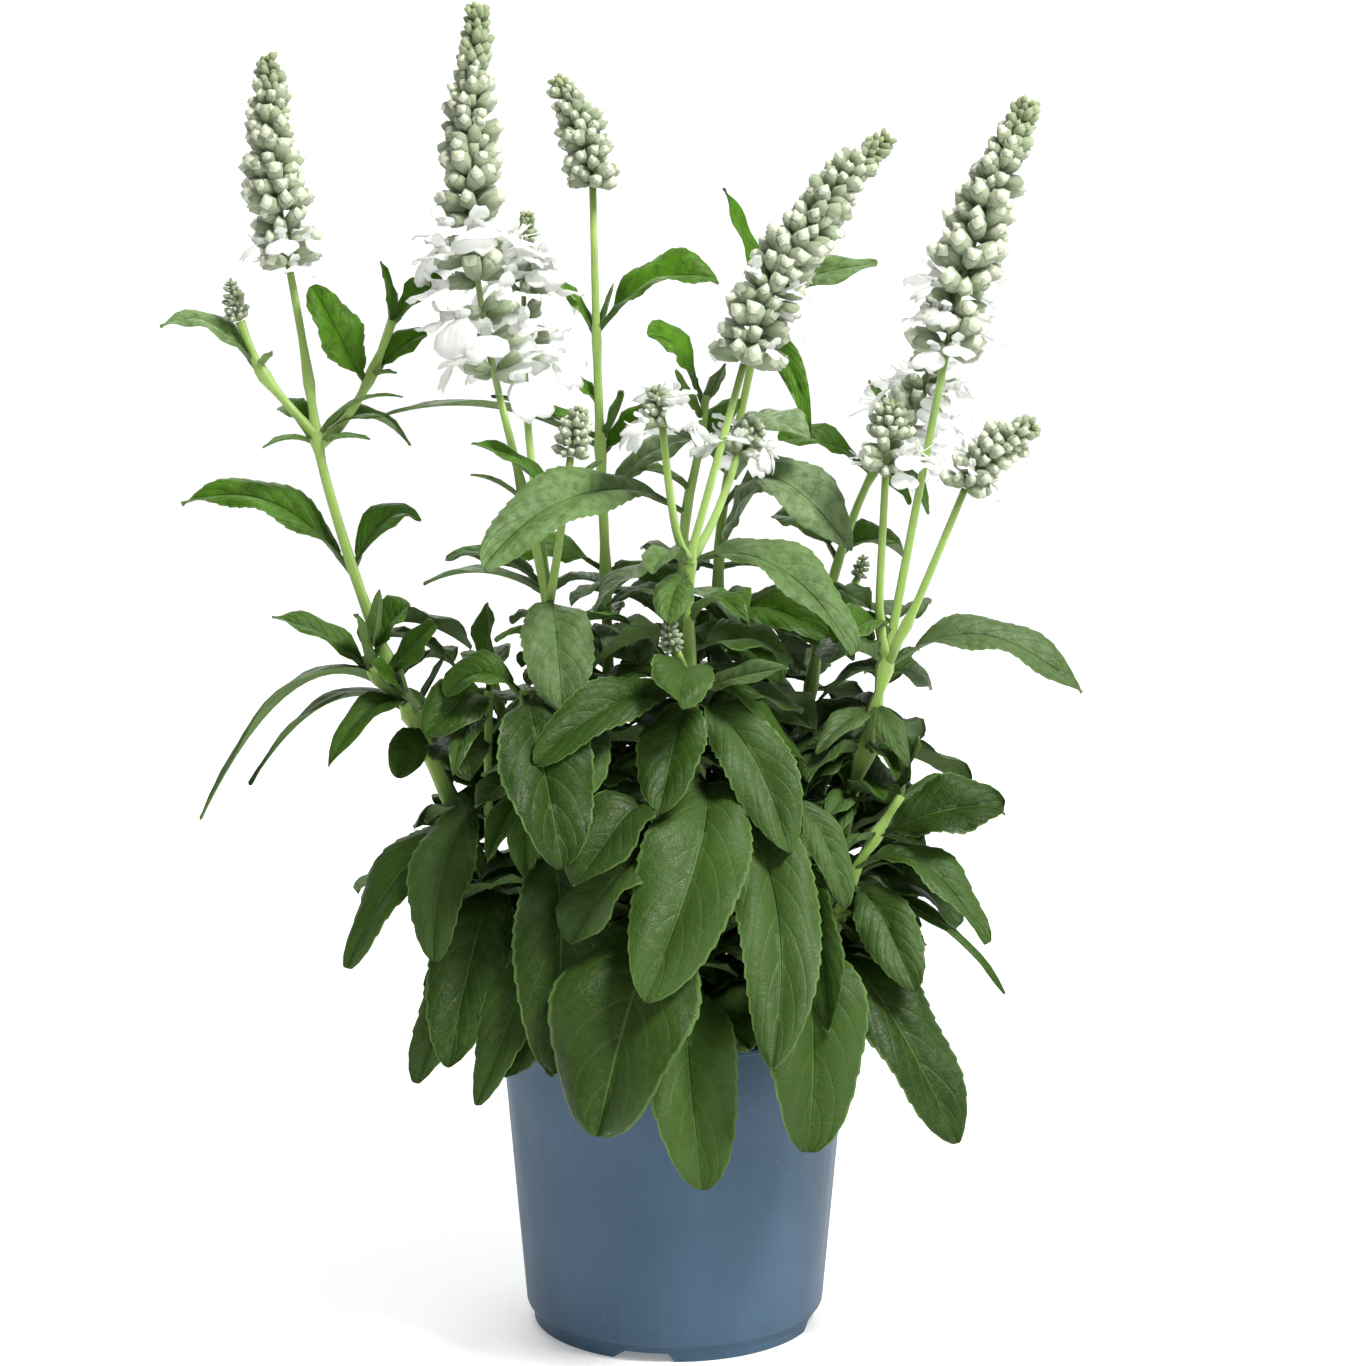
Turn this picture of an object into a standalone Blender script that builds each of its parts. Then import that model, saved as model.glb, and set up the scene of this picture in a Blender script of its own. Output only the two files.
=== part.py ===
"""A flowering perennial salvia in a round plastic nursery pot.

Frame: metres, +Z up, +X to the right of the viewer, who stands on the -Y side. The origin is the
centre of the pot's underside. Lengths in the plant's layout are millimetres and angles are degrees.

A stem is one body with its side branches and leaves, and a flower spike is one body that stands on the
tip of its stem. Where two plants would cross, the leaf that was placed last is bent clear.
"""

import math
import random
from dataclasses import dataclass, replace

import bmesh
import bpy
from mathutils import Quaternion, Vector
from mathutils.bvhtree import BVHTree

MM = 0.001
UP = Vector((0.0, 0.0, 1.0))
CLEAR = 0.3

POT_HEIGHT = 116.0
POT_RIM_RADIUS = 65.0
POT_STEP_RADIUS = 54.5
POT_FOOT_RADIUS = 52.0
POT_WALL = 1.2
POT_LIP = 2.0
POT_STEP_HEIGHT = 6.0
POT_FLOOR = 5.0
POT_PAD_RADIUS = 12.0
POT_SIDES = 30
NOTCH_WIDTH = 18.0
NOTCH_HEIGHT = 3.0
DRAIN_RADIUS = 4.0
DRAIN_CIRCLE = 34.0
DRAINS = 5

SOIL_TOP = 104.0
STEM_DEPTH = 6.0
STRAIGHT_RUN = 8.0
HOLE_SIDES = 6

STEM_RADIUS = 2.2
TIP_RADIUS = 1.1
BRANCH_RADIUS = 1.3
BLADE_THICKNESS = 1.2
STALK_WIDTH = 2.2
PROBE_MARGIN = 0.4
BEND_SHARE = 0.48
SWAY_SHARE = 0.06
LAYOUT_SEED = 12

WHORL_PITCH = 8.2
WHORL_BUDS = 5
CROWN_SHARE = 0.72
WAIST_SHARE = 0.08
SPIKE_TAPER = 0.75
TAPER_POWER = 2.4
OPEN_REACH = 1.3
GAP_RADIUS = 0.52
WAIST_RADIUS = 0.36
WELD = 0.00001
FLAT_ANGLE = math.radians(0.3)


@dataclass(frozen=True)
class Form:
    """Outline of a kind of leaf.

    stalk is the share of the length that is stalk, skew moves the widest place towards the stalk when
    it is under 1, fullness rounds the outline when it is under 1, and cuts are the stations of the
    blade, from its stalk (0) to its tip (1).
    """

    stalk: float
    skew: float
    fullness: float
    cuts: tuple


OVATE = Form(0.16, 1.18, 0.54, (0.0, 0.2, 0.5, 0.84, 1.0))
ROUND = Form(0.14, 1.46, 0.46, (0.0, 0.18, 0.44, 0.70, 0.90, 1.0))
PLAIN = Form(0.16, 1.14, 0.56, (0.0, 0.3, 0.76, 1.0))
LANCE = Form(0.10, 0.90, 0.78, (0.0, 0.32, 0.7, 1.0))
SMALL = Form(0.10, 0.92, 0.80, (0.0, 0.5, 1.0))


@dataclass(frozen=True)
class Leaf:
    """A leaf: height on its axis, its tip, blade width, rise over its chord, roll, outline and sway."""

    height: float
    tip: tuple
    width: float
    rise: float
    roll: float
    form: Form = OVATE
    sway: float = 0.0


@dataclass(frozen=True)
class Spike:
    """A flower spike on the tip of an axis: its top, the radius of its lowest whorl, its open share."""

    name: str
    top: tuple
    radius: float
    open_share: float = 0.0


@dataclass(frozen=True)
class Axis:
    """A stem or side branch: the points that it passes, its leaves and the spike that it carries."""

    path: tuple
    leaves: tuple = ()
    spike: Spike = None


@dataclass(frozen=True)
class Stem:
    """One body of the plant: a main axis, its side branches, and the range that rule leaves fill.

    fill is (lowest height, highest height, pitch, leaf length at the bottom, leaf length at the top).
    """

    name: str
    axes: tuple
    fill: tuple = ()


LEFT = Stem("stem_left", (
    Axis(((-34, -8, 98), (-60, -10, 150), (-85, -12, 206), (-94, -12, 228), (-110, -8, 263), (-124, -4, 309),
          (-127, -2, 324), (-131, 0, 355), (-136, 0, 385)),
         (Leaf(228, (-168, -25, 190), 13, 30, 10, LANCE), Leaf(226, (-154, 2, 198), 11, 18, -10, LANCE),
          Leaf(229, (-122, -34, 211), 12, 10, -20, LANCE), Leaf(223, (-98, -28, 206), 13, 2, -30),
          Leaf(229, (-106, -28, 246), 11, 2, -50), Leaf(227, (-80, -20, 250), 6, 0, 40, SMALL),
          Leaf(275, (-175, -2, 299), 16, 14, -35, LANCE), Leaf(277, (-91, 8, 294), 12, 9, 30, LANCE),
          Leaf(324, (-95, -14, 339), 5, 6, 0, SMALL), Leaf(323, (-95, 10, 320), 11, 10, 20, LANCE),
          Leaf(327, (-142, 14, 333), 9, 3, -30), Leaf(322, (-145, -12, 321), 5, 3, 0, SMALL),
          Leaf(322, (-107, -12, 324), 5, 2, 0, SMALL)),
         Spike("spike_left", (-142, 3, 457), 13)),
    Axis(((-95, -12, 231), (-101, -14, 235), (-107, -16, 241), (-109, -16, 248)),
         (Leaf(240, (-142, -18, 262), 13, 4, -25, LANCE), Leaf(244, (-93, -18, 266), 16, 4, 40),
          Leaf(247, (-103, -14, 273), 5, 0, 0, SMALL), Leaf(239, (-84, -24, 261), 14, 0, 50),
          Leaf(242, (-111, -26, 265), 12, 0, -50))),
    Axis(((-127, -2, 324), (-138, -3, 337), (-146, -4, 347), (-150, -4, 357), (-153, -4, 365)),
         (Leaf(347, (-181, -6, 363), 12, 9, -25, LANCE), Leaf(349, (-141, -10, 355), 4, 0, 0, SMALL)),
         Spike("spike_left_side", (-156, -4, 380), 5)),
    Axis(((-126, -2, 322), (-117, -2, 329), (-107, 0, 346), (-100, 2, 365)),
         (Leaf(343, (-126, -4, 378), 17, -3, -60), Leaf(346, (-88, 4, 361), 11, 2, 40),
          Leaf(346, (-98, -8, 347), 4, 1, 0, SMALL), Leaf(364, (-82, -4, 381), 12, 0, 50),
          Leaf(364, (-104, 6, 386), 8, 0, 30, LANCE))),
), fill=(128, 170, 40, 60, 52))

CENTRE_LEFT = Stem("stem_centre_left", (
    Axis(((-16, -24, 98), (-28, -28, 140), (-36, -30, 177), (-42, -28, 234), (-44, -25, 269), (-57, -22, 324),
          (-61, -20, 340)),
         (Leaf(269, (-39, -58, 234), 24, 8, 0), Leaf(271, (-89, -18, 273), 9, 7, 0, LANCE),
          Leaf(272, (-82, 4, 280), 12, 7, -20), Leaf(304, (-71, -28, 313), 5, 2, 0, SMALL)),
         Spike("spike_centre_left", (-67, -17, 473), 13, 0.34)),
    Axis(((-44, -25, 268), (-47, -14, 289), (-52, 1, 324), (-53, 5, 339)), (),
         Spike("spike_centre_left_second", (-52, 9, 403), 10, 0.5)),
    Axis(((-44, -25, 267), (-41, -27, 283), (-38, -28, 304), (-36, -28, 319)),
         (Leaf(303, (-70, -36, 325), 12, 3, -20, LANCE), Leaf(304, (-25, -20, 317), 5, 2, 0, SMALL)),
         Spike("spike_centre_left_third", (-32, -28, 336), 7)),
), fill=(128, 236, 50, 60, 46))

BACK_TALL = Stem("stem_back_tall", (
    Axis(((-4, 8, 98), (-14, 8, 135), (-21, 8, 169), (-24, 10, 228), (-25, 12, 279), (-27, 12, 326),
          (-28, 12, 361), (-29, 10, 412)),
         (Leaf(361, (16, 6, 379), 17, 9, 35), Leaf(360, (-43, 10, 380), 9, 2, -30, LANCE),
          Leaf(360, (-22, 14, 378), 5, 0, 0, SMALL), Leaf(336, (-37, 16, 346), 6, 0, -20, SMALL),
          Leaf(323, (-66, 12, 338), 9, 2, -30, LANCE), Leaf(322, (-18, 4, 340), 13, 0, 40),
          Leaf(317, (-9, 10, 335), 10, 0, 40), Leaf(320, (-104, 2, 331), 8, 9, 0, LANCE),
          Leaf(300, (6, 22, 321), 13, 6, 30), Leaf(275, (-66, 4, 283), 16, 6, -30),
          Leaf(274, (-2, 18, 260), 16, 6, 20)),
         Spike("spike_back_tall", (-42, 8, 449), 10)),
), fill=(132, 256, 40, 62, 46))

FRONT = Stem("stem_front", (
    Axis(((2, -14, 98), (8, -20, 140), (10, -25, 180), (7, -31, 213), (5, -33, 236), (5, -34, 284),
          (9, -32, 297), (24, -25, 351)),
         (Leaf(283, (-8, -62, 282), 12, 4, 0), Leaf(283, (63, -46, 253), 21, 14, 30),
          Leaf(279, (-2, -52, 264), 13, 2, -20), Leaf(262, (26, -54, 263), 9, 9, 10, LANCE),
          Leaf(237, (-6, -46, 254), 9, 0, -40), Leaf(235, (-4, -72, 202), 22, 6, 0),
          Leaf(235, (-48, -70, 219), 18, 10, -40), Leaf(235, (40, -66, 187), 23, 10, 35),
          Leaf(238, (43, -46, 214), 9, 12, 20, LANCE), Leaf(236, (38, -40, 248), 10, 2, 40),
          Leaf(209, (-11, -84, 143), 36, 14, -10, OVATE, 11), Leaf(205, (35, -78, 122), 28, 16, 10, OVATE, 12)),
         Spike("spike_front", (74, -12, 429), 12.5)),
    Axis(((5, -34, 284), (1, -36, 291), (-2, -38, 310), (-4, -38, 330)), (),
         Spike("spike_front_west", (-7, -39, 344), 6)),
    Axis(((5, -34, 282), (13, -28, 295), (20, -20, 312), (22, -18, 319)), (),
         Spike("spike_front_east", (30, -14, 330), 8)),
    Axis(((5, -33, 238), (3, -40, 248), (0, -44, 254)), (),
         Spike("spike_front_low", (-1, -46, 265), 5)),
), fill=(124, 250, 60, 58, 44))

RIGHT = Stem("stem_right", (
    Axis(((34, -8, 98), (47, -12, 135), (58, -14, 177), (69, -14, 219), (75, -14, 244), (85, -12, 299),
          (95, -10, 353)),
         (Leaf(243, (144, -16, 234), 19, 16, 30), Leaf(245, (36, 12, 264), 16, 6, -30),
          Leaf(242, (94, 22, 231), 11, 3, 60, LANCE), Leaf(226, (49, -36, 216), 10, 5, -20, LANCE)),
         Spike("spike_right", (124, -6, 441), 13, 0.2)),
    Axis(((75, -14, 246), (72, -16, 260), (73, -18, 289), (74, -18, 313)), (),
         Spike("spike_right_west", (76, -18, 338), 9, 0.4)),
    Axis(((75, -14, 245), (83, -15, 260), (92, -16, 282), (102, -16, 307)), (),
         Spike("spike_right_east", (127, -16, 329), 10, 0.4)),
), fill=(124, 218, 44, 60, 46))

BACK_RIGHT = Stem("stem_back_right", (
    Axis(((22, 20, 98), (35, 24, 150), (46, 28, 203), (53, 32, 247), (60, 34, 277), (72, 36, 309),
          (85, 38, 324)),
         (Leaf(309, (38, 32, 320), 15, 5, -30), Leaf(310, (86, 30, 297), 10, 4, 20, LANCE),
          Leaf(314, (94, 44, 292), 15, 6, 30), Leaf(319, (72, 58, 341), 10, 0, 40),
          Leaf(277, (86, 52, 275), 15, 7, 30), Leaf(276, (36, 54, 289), 15, 7, -30)),
         Spike("spike_back_right", (92, 40, 353), 14, 0.5)),
    Axis(((57, 33, 260), (64, 30, 264), (67, 29, 270)), (),
         Spike("spike_back_right_low", (69, 28, 279), 4)),
), fill=(124, 252, 42, 62, 46))

INNER = Stem("shoot_inner", (
    Axis(((8, 2, 98), (7, 2, 145), (6, 2, 192), (3, 0, 258), (3, -4, 295), (9, -6, 320), (11, -6, 339)),
         (Leaf(298, (-66, -46, 286), 22, 15, -35), Leaf(336, (-8, -16, 359), 15, 8, -50),
          Leaf(330, (0, -18, 349), 5, 0, 0, SMALL), Leaf(336, (18, 2, 350), 6, 0, 0, SMALL),
          Leaf(323, (24, 6, 337), 9, 2, 30, LANCE), Leaf(321, (-6, 8, 326), 9, 3, -20),
          Leaf(306, (-12, -18, 314), 8, 2, -20, LANCE))),
), fill=(134, 280, 48, 58, 40))

BACK_CENTRE = Stem("shoot_back_centre", (
    Axis(((14, 14, 98), (16, 14, 145), (17, 14, 190), (15, 14, 257), (17, 14, 300), (25, 20, 336),
          (33, 24, 375)),
         (Leaf(374, (18, 20, 412), 11, 0, -40, LANCE), Leaf(373, (73, 18, 384), 14, 3, 40, LANCE),
          Leaf(355, (49, 10, 324), 9, 12, 60, LANCE), Leaf(298, (61, -8, 283), 22, 18, 35),
          Leaf(283, (30, 0, 309), 18, 0, 60), Leaf(257, (54, -12, 253), 16, 8, 40))),
), fill=(126, 340, 50, 62, 40))

LOW_RIGHT = Stem("shoot_low_right", (
    Axis(((42, -16, 98), (52, -21, 132), (59, -26, 160), (64, -32, 175), (73, -26, 188), (80, -24, 199)),
         (Leaf(198, (86, -26, 221), 15, 0, 40), Leaf(197, (118, -14, 190), 9, 9, 0, LANCE),
          Leaf(184, (116, -26, 197), 23, 4, 45), Leaf(175, (108, -50, 151), 17, 14, 20),
          Leaf(167, (81, -56, 135), 19, 8, 40), Leaf(160, (118, -28, 128), 11, 12, 10, LANCE),
          Leaf(142, (98, -62, 83), 29, 17, 18))),
))

FRONT_RIGHT = Stem("shoot_front_right", (
    Axis(((24, -32, 98), (30, -38, 122), (35, -44, 144), (38, -50, 181), (40, -52, 206)),
         (Leaf(204, (60, -62, 167), 13, 6, 40), Leaf(185, (52, -70, 125), 19, 10, 75),
          Leaf(148, (49, -90, 85), 36, 24, 5, ROUND))),
))

FRONT_SHOOT = Stem("shoot_front", (
    Axis(((0, -38, 98), (-1, -44, 120), (-1, -50, 138), (-5, -58, 176), (-7, -60, 204)),
         (Leaf(203, (-31, -84, 178), 25, 9, -14), Leaf(183, (-35, -86, 157), 28, 9, -14),
          Leaf(152, (-26, -96, 96), 50, 24, -5, ROUND), Leaf(131, (6, -92, 76), 31, 22, 0, ROUND))),
))

FRONT_LEFT = Stem("shoot_front_left", (
    Axis(((-22, -34, 98), (-31, -40, 122), (-39, -44, 144), (-48, -50, 195), (-52, -46, 240)),
         (Leaf(239, (-37, -86, 185), 31, 10, 5), Leaf(237, (-79, -46, 238), 14, 9, -40),
          Leaf(184, (-41, -86, 112), 32, 20, 0, ROUND), Leaf(206, (-64, -70, 186), 10, 5, -10),
          Leaf(152, (-66, -76, 99), 20, 18, -20), Leaf(136, (-44, -84, 110), 14, 14, 0),
          Leaf(213, (-51, -72, 174), 12, 5, 10))),
))

LOW_LEFT = Stem("shoot_low_left", (
    Axis(((-40, -14, 98), (-52, -19, 126), (-62, -24, 150), (-66, -30, 191), (-65, -28, 237)),
         (Leaf(234, (-84, -50, 224), 19, 7, -40), Leaf(228, (-76, -58, 212), 8, 5, -20, LANCE),
          Leaf(198, (-86, -58, 147), 21, 10, -20), Leaf(180, (-115, -40, 140), 20, 20, -35),
          Leaf(165, (-78, -68, 112), 27, 16, -15), Leaf(146, (-88, -58, 103), 20, 18, -10),
          Leaf(236, (-66, -18, 267), 13, 2, -60))),
))

SHOWN_STEMS = (LEFT, CENTRE_LEFT, BACK_TALL, FRONT, RIGHT, BACK_RIGHT, INNER, BACK_CENTRE, LOW_RIGHT,
               FRONT_RIGHT, FRONT_SHOOT, FRONT_LEFT, LOW_LEFT)

REAR_SHOOTS = 8
REAR_FROM = -6.0
REAR_TO = 178.0
REAR_FOOT_CIRCLE = 42.0
REAR_HEAD_CIRCLE = 66.0
REAR_HEIGHTS = (200.0, 226.0, 212.0, 240.0)


def rear_shoots():
    """Short leafy shoots in an arc along the sides and the back of the pot."""
    shoots = []
    for index in range(REAR_SHOOTS):
        turn = math.radians(REAR_FROM + (REAR_TO - REAR_FROM) * index / (REAR_SHOOTS - 1))
        out = Vector((math.cos(turn), math.sin(turn), 0.0))
        top = REAR_HEIGHTS[index % len(REAR_HEIGHTS)]
        reach = REAR_HEAD_CIRCLE - REAR_FOOT_CIRCLE
        path = tuple(
            tuple(out * (REAR_FOOT_CIRCLE + reach * share ** 1.4) + UP * (98.0 + (top - 98.0) * share))
            for share in (0.0, 0.25, 0.5, 0.75, 1.0))
        shoots.append(Stem(f"shoot_rear_{index + 1}", (Axis(path),), fill=(118, top - 4.0, 31, 66, 38)))
    return tuple(shoots)


STEMS = SHOWN_STEMS + rear_shoots()


def curve_through(points, steps):
    """Points of a smooth curve (Catmull-Rom) through the given ones, steps to each span."""
    known = [Vector(point) for point in points]
    ends = [2.0 * known[0] - known[1]] + known + [2.0 * known[-1] - known[-2]]
    course = []
    for before, start, end, after in zip(ends, ends[1:], ends[2:], ends[3:]):
        for step in range(steps):
            share = step / steps
            course.append(0.5 * (2.0 * start + (end - before) * share
                                 + (2.0 * before - 5.0 * start + 4.0 * end - after) * share ** 2
                                 + (3.0 * (start - end) + after - before) * share ** 3))
    return course + [known[-1]]


def axis_course(axis, rooted, steps=1):
    """The centre line of an axis, upright where it leaves the soil."""
    course = curve_through(axis.path, steps)
    if rooted:
        foot = course[0]
        straight = foot + UP * (STEM_DEPTH + STRAIGHT_RUN)
        course = [foot, straight] + [point for point in course if point.z > straight.z + STRAIGHT_RUN]
    return course


def at_height(course, height):
    """The place where a course passes a height."""
    for start, end in zip(course, course[1:]):
        if start.z <= height <= end.z:
            return start.lerp(end, (height - start.z) / max(end.z - start.z, 1e-6))
    return course[-1] if height > course[-1].z else course[0]


@dataclass(frozen=True)
class Blade:
    """The bent surface of one leaf, from its stalk's foot on the stem to its tip."""

    foot: Vector
    leaf: Leaf

    def bend(self):
        """The control point that lifts the middle of the centre line and pushes it to one side."""
        tip = Vector(self.leaf.tip)
        chord = tip - self.foot
        sway = self.leaf.sway + SWAY_SHARE * chord.length * math.sin(tip.x + tip.z)
        push = UP * self.leaf.rise + UP.cross(chord).normalized() * sway
        return self.foot.lerp(tip, BEND_SHARE) + 2.0 * push

    def centre(self, share):
        """A point of the centre line."""
        tip = Vector(self.leaf.tip)
        left = 1.0 - share
        return self.foot * left ** 2 + self.bend() * (2.0 * left * share) + tip * share ** 2

    def frame(self, share):
        """Side and upward directions of the blade; the stalk keeps those of its end."""
        share = max(share, self.leaf.form.stalk)
        tip = Vector(self.leaf.tip)
        bend = self.bend()
        along = ((bend - self.foot) * (1.0 - share) + (tip - bend) * share).normalized()
        level = tip - self.foot
        level.z = 0.0
        side = UP.cross(level).normalized() if level.length > 1e-3 else Vector((0.0, 1.0, 0.0))
        side = (side - along * side.dot(along)).normalized()
        turn = Quaternion(along, math.radians(self.leaf.roll) * min(1.0, share / 0.3))
        side = turn @ side
        return side, along.cross(side)

    def half_width(self, share):
        """Half the width of the stalk or the blade."""
        stalk = self.leaf.form.stalk
        narrow = 0.5 * min(STALK_WIDTH, 0.4 * self.leaf.width)
        if share <= stalk:
            return narrow
        run = (share - stalk) / (1.0 - stalk)
        full = math.sin(math.pi * min(run, 1.0) ** self.leaf.form.skew)
        return narrow * (1.0 - run) + 0.5 * self.leaf.width * max(full, 0.0) ** self.leaf.form.fullness

    def surface(self, share, across, ripple=0.05):
        """A point of the blade's middle surface, across from -1 (left edge) to 1 (right edge)."""
        side, normal = self.frame(share)
        half = self.half_width(share)
        lift = 0.28 * abs(across) * half
        phase = 0.7 * self.foot.z + 2.1 * across
        wave = ripple * self.leaf.width * math.sin(15.0 * share + phase) * abs(across)
        return self.centre(share) + side * (half * across) + normal * (lift + wave * min(1.0, 3.0 * share))


def loft(columns, rows, place, alike=False):
    """A body as a bmesh: a grid of columns along it and rows round it, welded and closed at its ends.

    place gives the point of a column and a row. With alike, the quads of the upper and the lower
    half are split along the same diagonals, but for the first column, whose quads are flat.
    """
    solid = bmesh.new()
    bmesh.ops.create_grid(solid, x_segments=columns, y_segments=rows, size=0.5)
    cells = {vert: (round((vert.co.x + 0.5) * columns), round((vert.co.y + 0.5) * rows))
             for vert in solid.verts}
    if alike:
        for face in solid.faces[:]:
            corner = {cells[vert]: vert for vert in face.verts}
            column, row = min(corner)
            rising = row < rows // 2
            first = corner[(column, row if rising else row + 1)]
            if column:
                bmesh.utils.face_split(face, first, corner[(column + 1, row + 1 if rising else row)])
    for vert, (column, row) in cells.items():
        vert.co = place(column, row % rows) * MM
    bmesh.ops.remove_doubles(solid, verts=solid.verts[:], dist=WELD)
    rim = [edge for edge in solid.edges if edge.is_boundary]
    bmesh.ops.holes_fill(solid, edges=rim, sides=rows)
    bmesh.ops.recalc_face_normals(solid, faces=solid.faces[:])
    return solid


def blade_solid(blade, margin=0.0, start=0.0):
    """A closed blade of lens section: four points round each station and one at the tip.

    margin widens and thickens it on all sides, and start leaves out its first share.
    """
    form = blade.leaf.form
    stations = [form.stalk + cut * (1.0 - form.stalk) for cut in form.cuts]
    stations = [start] + [share for share in stations if share > start]
    around = ((-1.0, 0.0), (0.0, 1.0), (1.0, 0.0), (0.0, -1.0))

    def place(column, row):
        share = stations[column]
        if share >= 1.0:
            return blade.centre(1.0)
        across, above = around[row]
        side, normal = blade.frame(share)
        out = side * (across * margin) + normal * (above * (0.5 * BLADE_THICKNESS + margin))
        return blade.surface(share, across) + out

    return loft(len(stations) - 1, len(around), place, alike=True)


def rod_solid(course, radii, sides=6):
    """A round tapered rod along a course, used to find what crosses it."""
    def place(column, row):
        ahead = course[min(column + 1, len(course) - 1)] - course[max(column - 1, 0)]
        turn = Quaternion(ahead.normalized(), 2.0 * math.pi * row / sides)
        return course[column] + turn @ ahead.orthogonal().normalized() * radii[column]

    return loft(len(course) - 1, sides, place)


def spike_solid(line, spike):
    """A flower spike: rings of pointed buds round a slim axis, in whorls turned by half a bud.

    Each whorl is a waist and a crown of bud tips above it, and the open flowers of the lowest whorls
    reach further out.
    """
    length = sum((end - start).length for start, end in zip(line, line[1:]))
    whorls = max(2, round(length / WHORL_PITCH))
    smooth = len(line) - 1

    def along(share):
        step = min(int(share * smooth), smooth - 1)
        return line[step].lerp(line[step + 1], share * smooth - step), line[step + 1] - line[step]

    def place(column, row):
        if column == 0:
            share, radius = 0.0, TIP_RADIUS
        elif column > 2 * whorls:
            return line[-1]
        else:
            whorl, crown = divmod(column - 1, 2)
            share = (whorl + (CROWN_SHARE if crown else WAIST_SHARE)) / whorls
            reach = spike.radius * (1.0 - SPIKE_TAPER * share ** TAPER_POWER)
            reach *= OPEN_REACH if crown and share < spike.open_share else 1.0
            tip = (row + whorl) % 2 == 0
            radius = reach * ((1.0 if tip else GAP_RADIUS) if crown else WAIST_RADIUS)
        centre, ahead = along(share)
        turn = Quaternion(ahead.normalized(), math.pi * row / WHORL_BUDS)
        rise = 0.25 * radius if column and not column % 2 else 0.0
        side = ahead.orthogonal().normalized()
        return centre + turn @ side * radius + ahead.normalized() * rise

    return loft(2 * whorls + 1, 2 * WHORL_BUDS, place)


class Thicket:
    """The solids that stand already, by the body that they belong to."""

    def __init__(self):
        self.standing = []

    @staticmethod
    def tree_of(solid):
        """The search tree of a bmesh and the box round it; the bmesh is freed."""
        tree = BVHTree.FromBMesh(solid)
        places = [vert.co for vert in solid.verts]
        low = [min(place[i] for place in places) for i in range(3)]
        high = [max(place[i] for place in places) for i in range(3)]
        solid.free()
        return tree, low, high

    def add(self, owner, solid):
        """Let a solid stand for the body that is named."""
        self.standing.append((owner,) + self.tree_of(solid))

    def crossed(self, owner, solid, same_body):
        """Whether a solid meets one that stands: of other bodies, or of its own."""
        tree, low, high = self.tree_of(solid)
        for other, standing, other_low, other_high in self.standing:
            if (other == owner) != same_body:
                continue
            apart = any(low[i] > other_high[i] or high[i] < other_low[i] for i in range(3))
            if not apart and standing.overlap(tree):
                return True
        return False

    def fits(self, owner, blade):
        """Whether a blade clears all other bodies, and its outer part its own body too."""
        if self.crossed(owner, blade_solid(blade, PROBE_MARGIN), False):
            return False
        return not self.crossed(owner, blade_solid(blade, 0.1, 0.35), True)


BEND_STEPS = (0, 4, -4, 8, -8, 12, -12, 17, -17, 22, -22, 28, -28, 34)
LIFTS = ((0, 0), (3, 0), (-3, 0), (0, 14), (0, -14), (6, 10), (-5, -10), (9, 0), (3, 26), (3, -26))
TURNS = (0, 12, -12, 24, -24, 38, -38, 52, -52, 68, -68)
SHRINKS = ((1.0, 0.0), (1.0, 0.18), (0.88, -0.12), (0.76, 0.1), (0.64, 0.3), (0.55, -0.2))


def bent_in_depth(leaf):
    """A placed leaf, then ever stronger bends of it towards and away from the viewer."""
    for lift, roll in LIFTS:
        for step in BEND_STEPS:
            x, y, z = leaf.tip
            yield replace(leaf, tip=(x, y + step, z), rise=leaf.rise + lift, roll=leaf.roll + roll)


def rule_leaf(foot, height, turn, length, lift, roll):
    """A leaf that leaves its stem in a direction, rises and droops to its tip."""
    out = Vector((math.cos(turn), math.sin(turn), 0.0))
    tip = foot + out * (0.9 * length) + UP * (length * lift)
    form = PLAIN if length > 34.0 else LANCE
    width = length * (0.48 if form is PLAIN else 0.36)
    return Leaf(height, tuple(tip), width, 0.14 * length, roll, form)


def turned_about(foot, height, turn, length, lift, roll):
    """A rule leaf, then ones that point elsewhere, or are shorter, until one finds room."""
    for shrink, more_lift in SHRINKS:
        for degrees in TURNS:
            yield rule_leaf(foot, height, turn + math.radians(degrees), length * shrink,
                            lift + more_lift, roll)


def radii_along(course, first, last):
    """Radius at each point of a course that tapers evenly."""
    return [first + (last - first) * index / (len(course) - 1) for index in range(len(course))]


@dataclass
class Plant:
    """All axes and blades of the plant after each blade has found its room."""

    axes: list
    blades: dict
    left_out: list


def spike_course(axis_end, direction, spike, steps=4):
    """Centre line of a spike: it leaves the stem's tip along the stem and leans to its top."""
    foot = axis_end + direction * CLEAR
    top = Vector(spike.top)
    bend = foot + direction * (0.5 * (top - foot).length)
    return [foot * (1 - s) ** 2 + bend * (2 * s * (1 - s)) + top * s ** 2
            for s in [step / steps for step in range(steps + 1)]]


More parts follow.
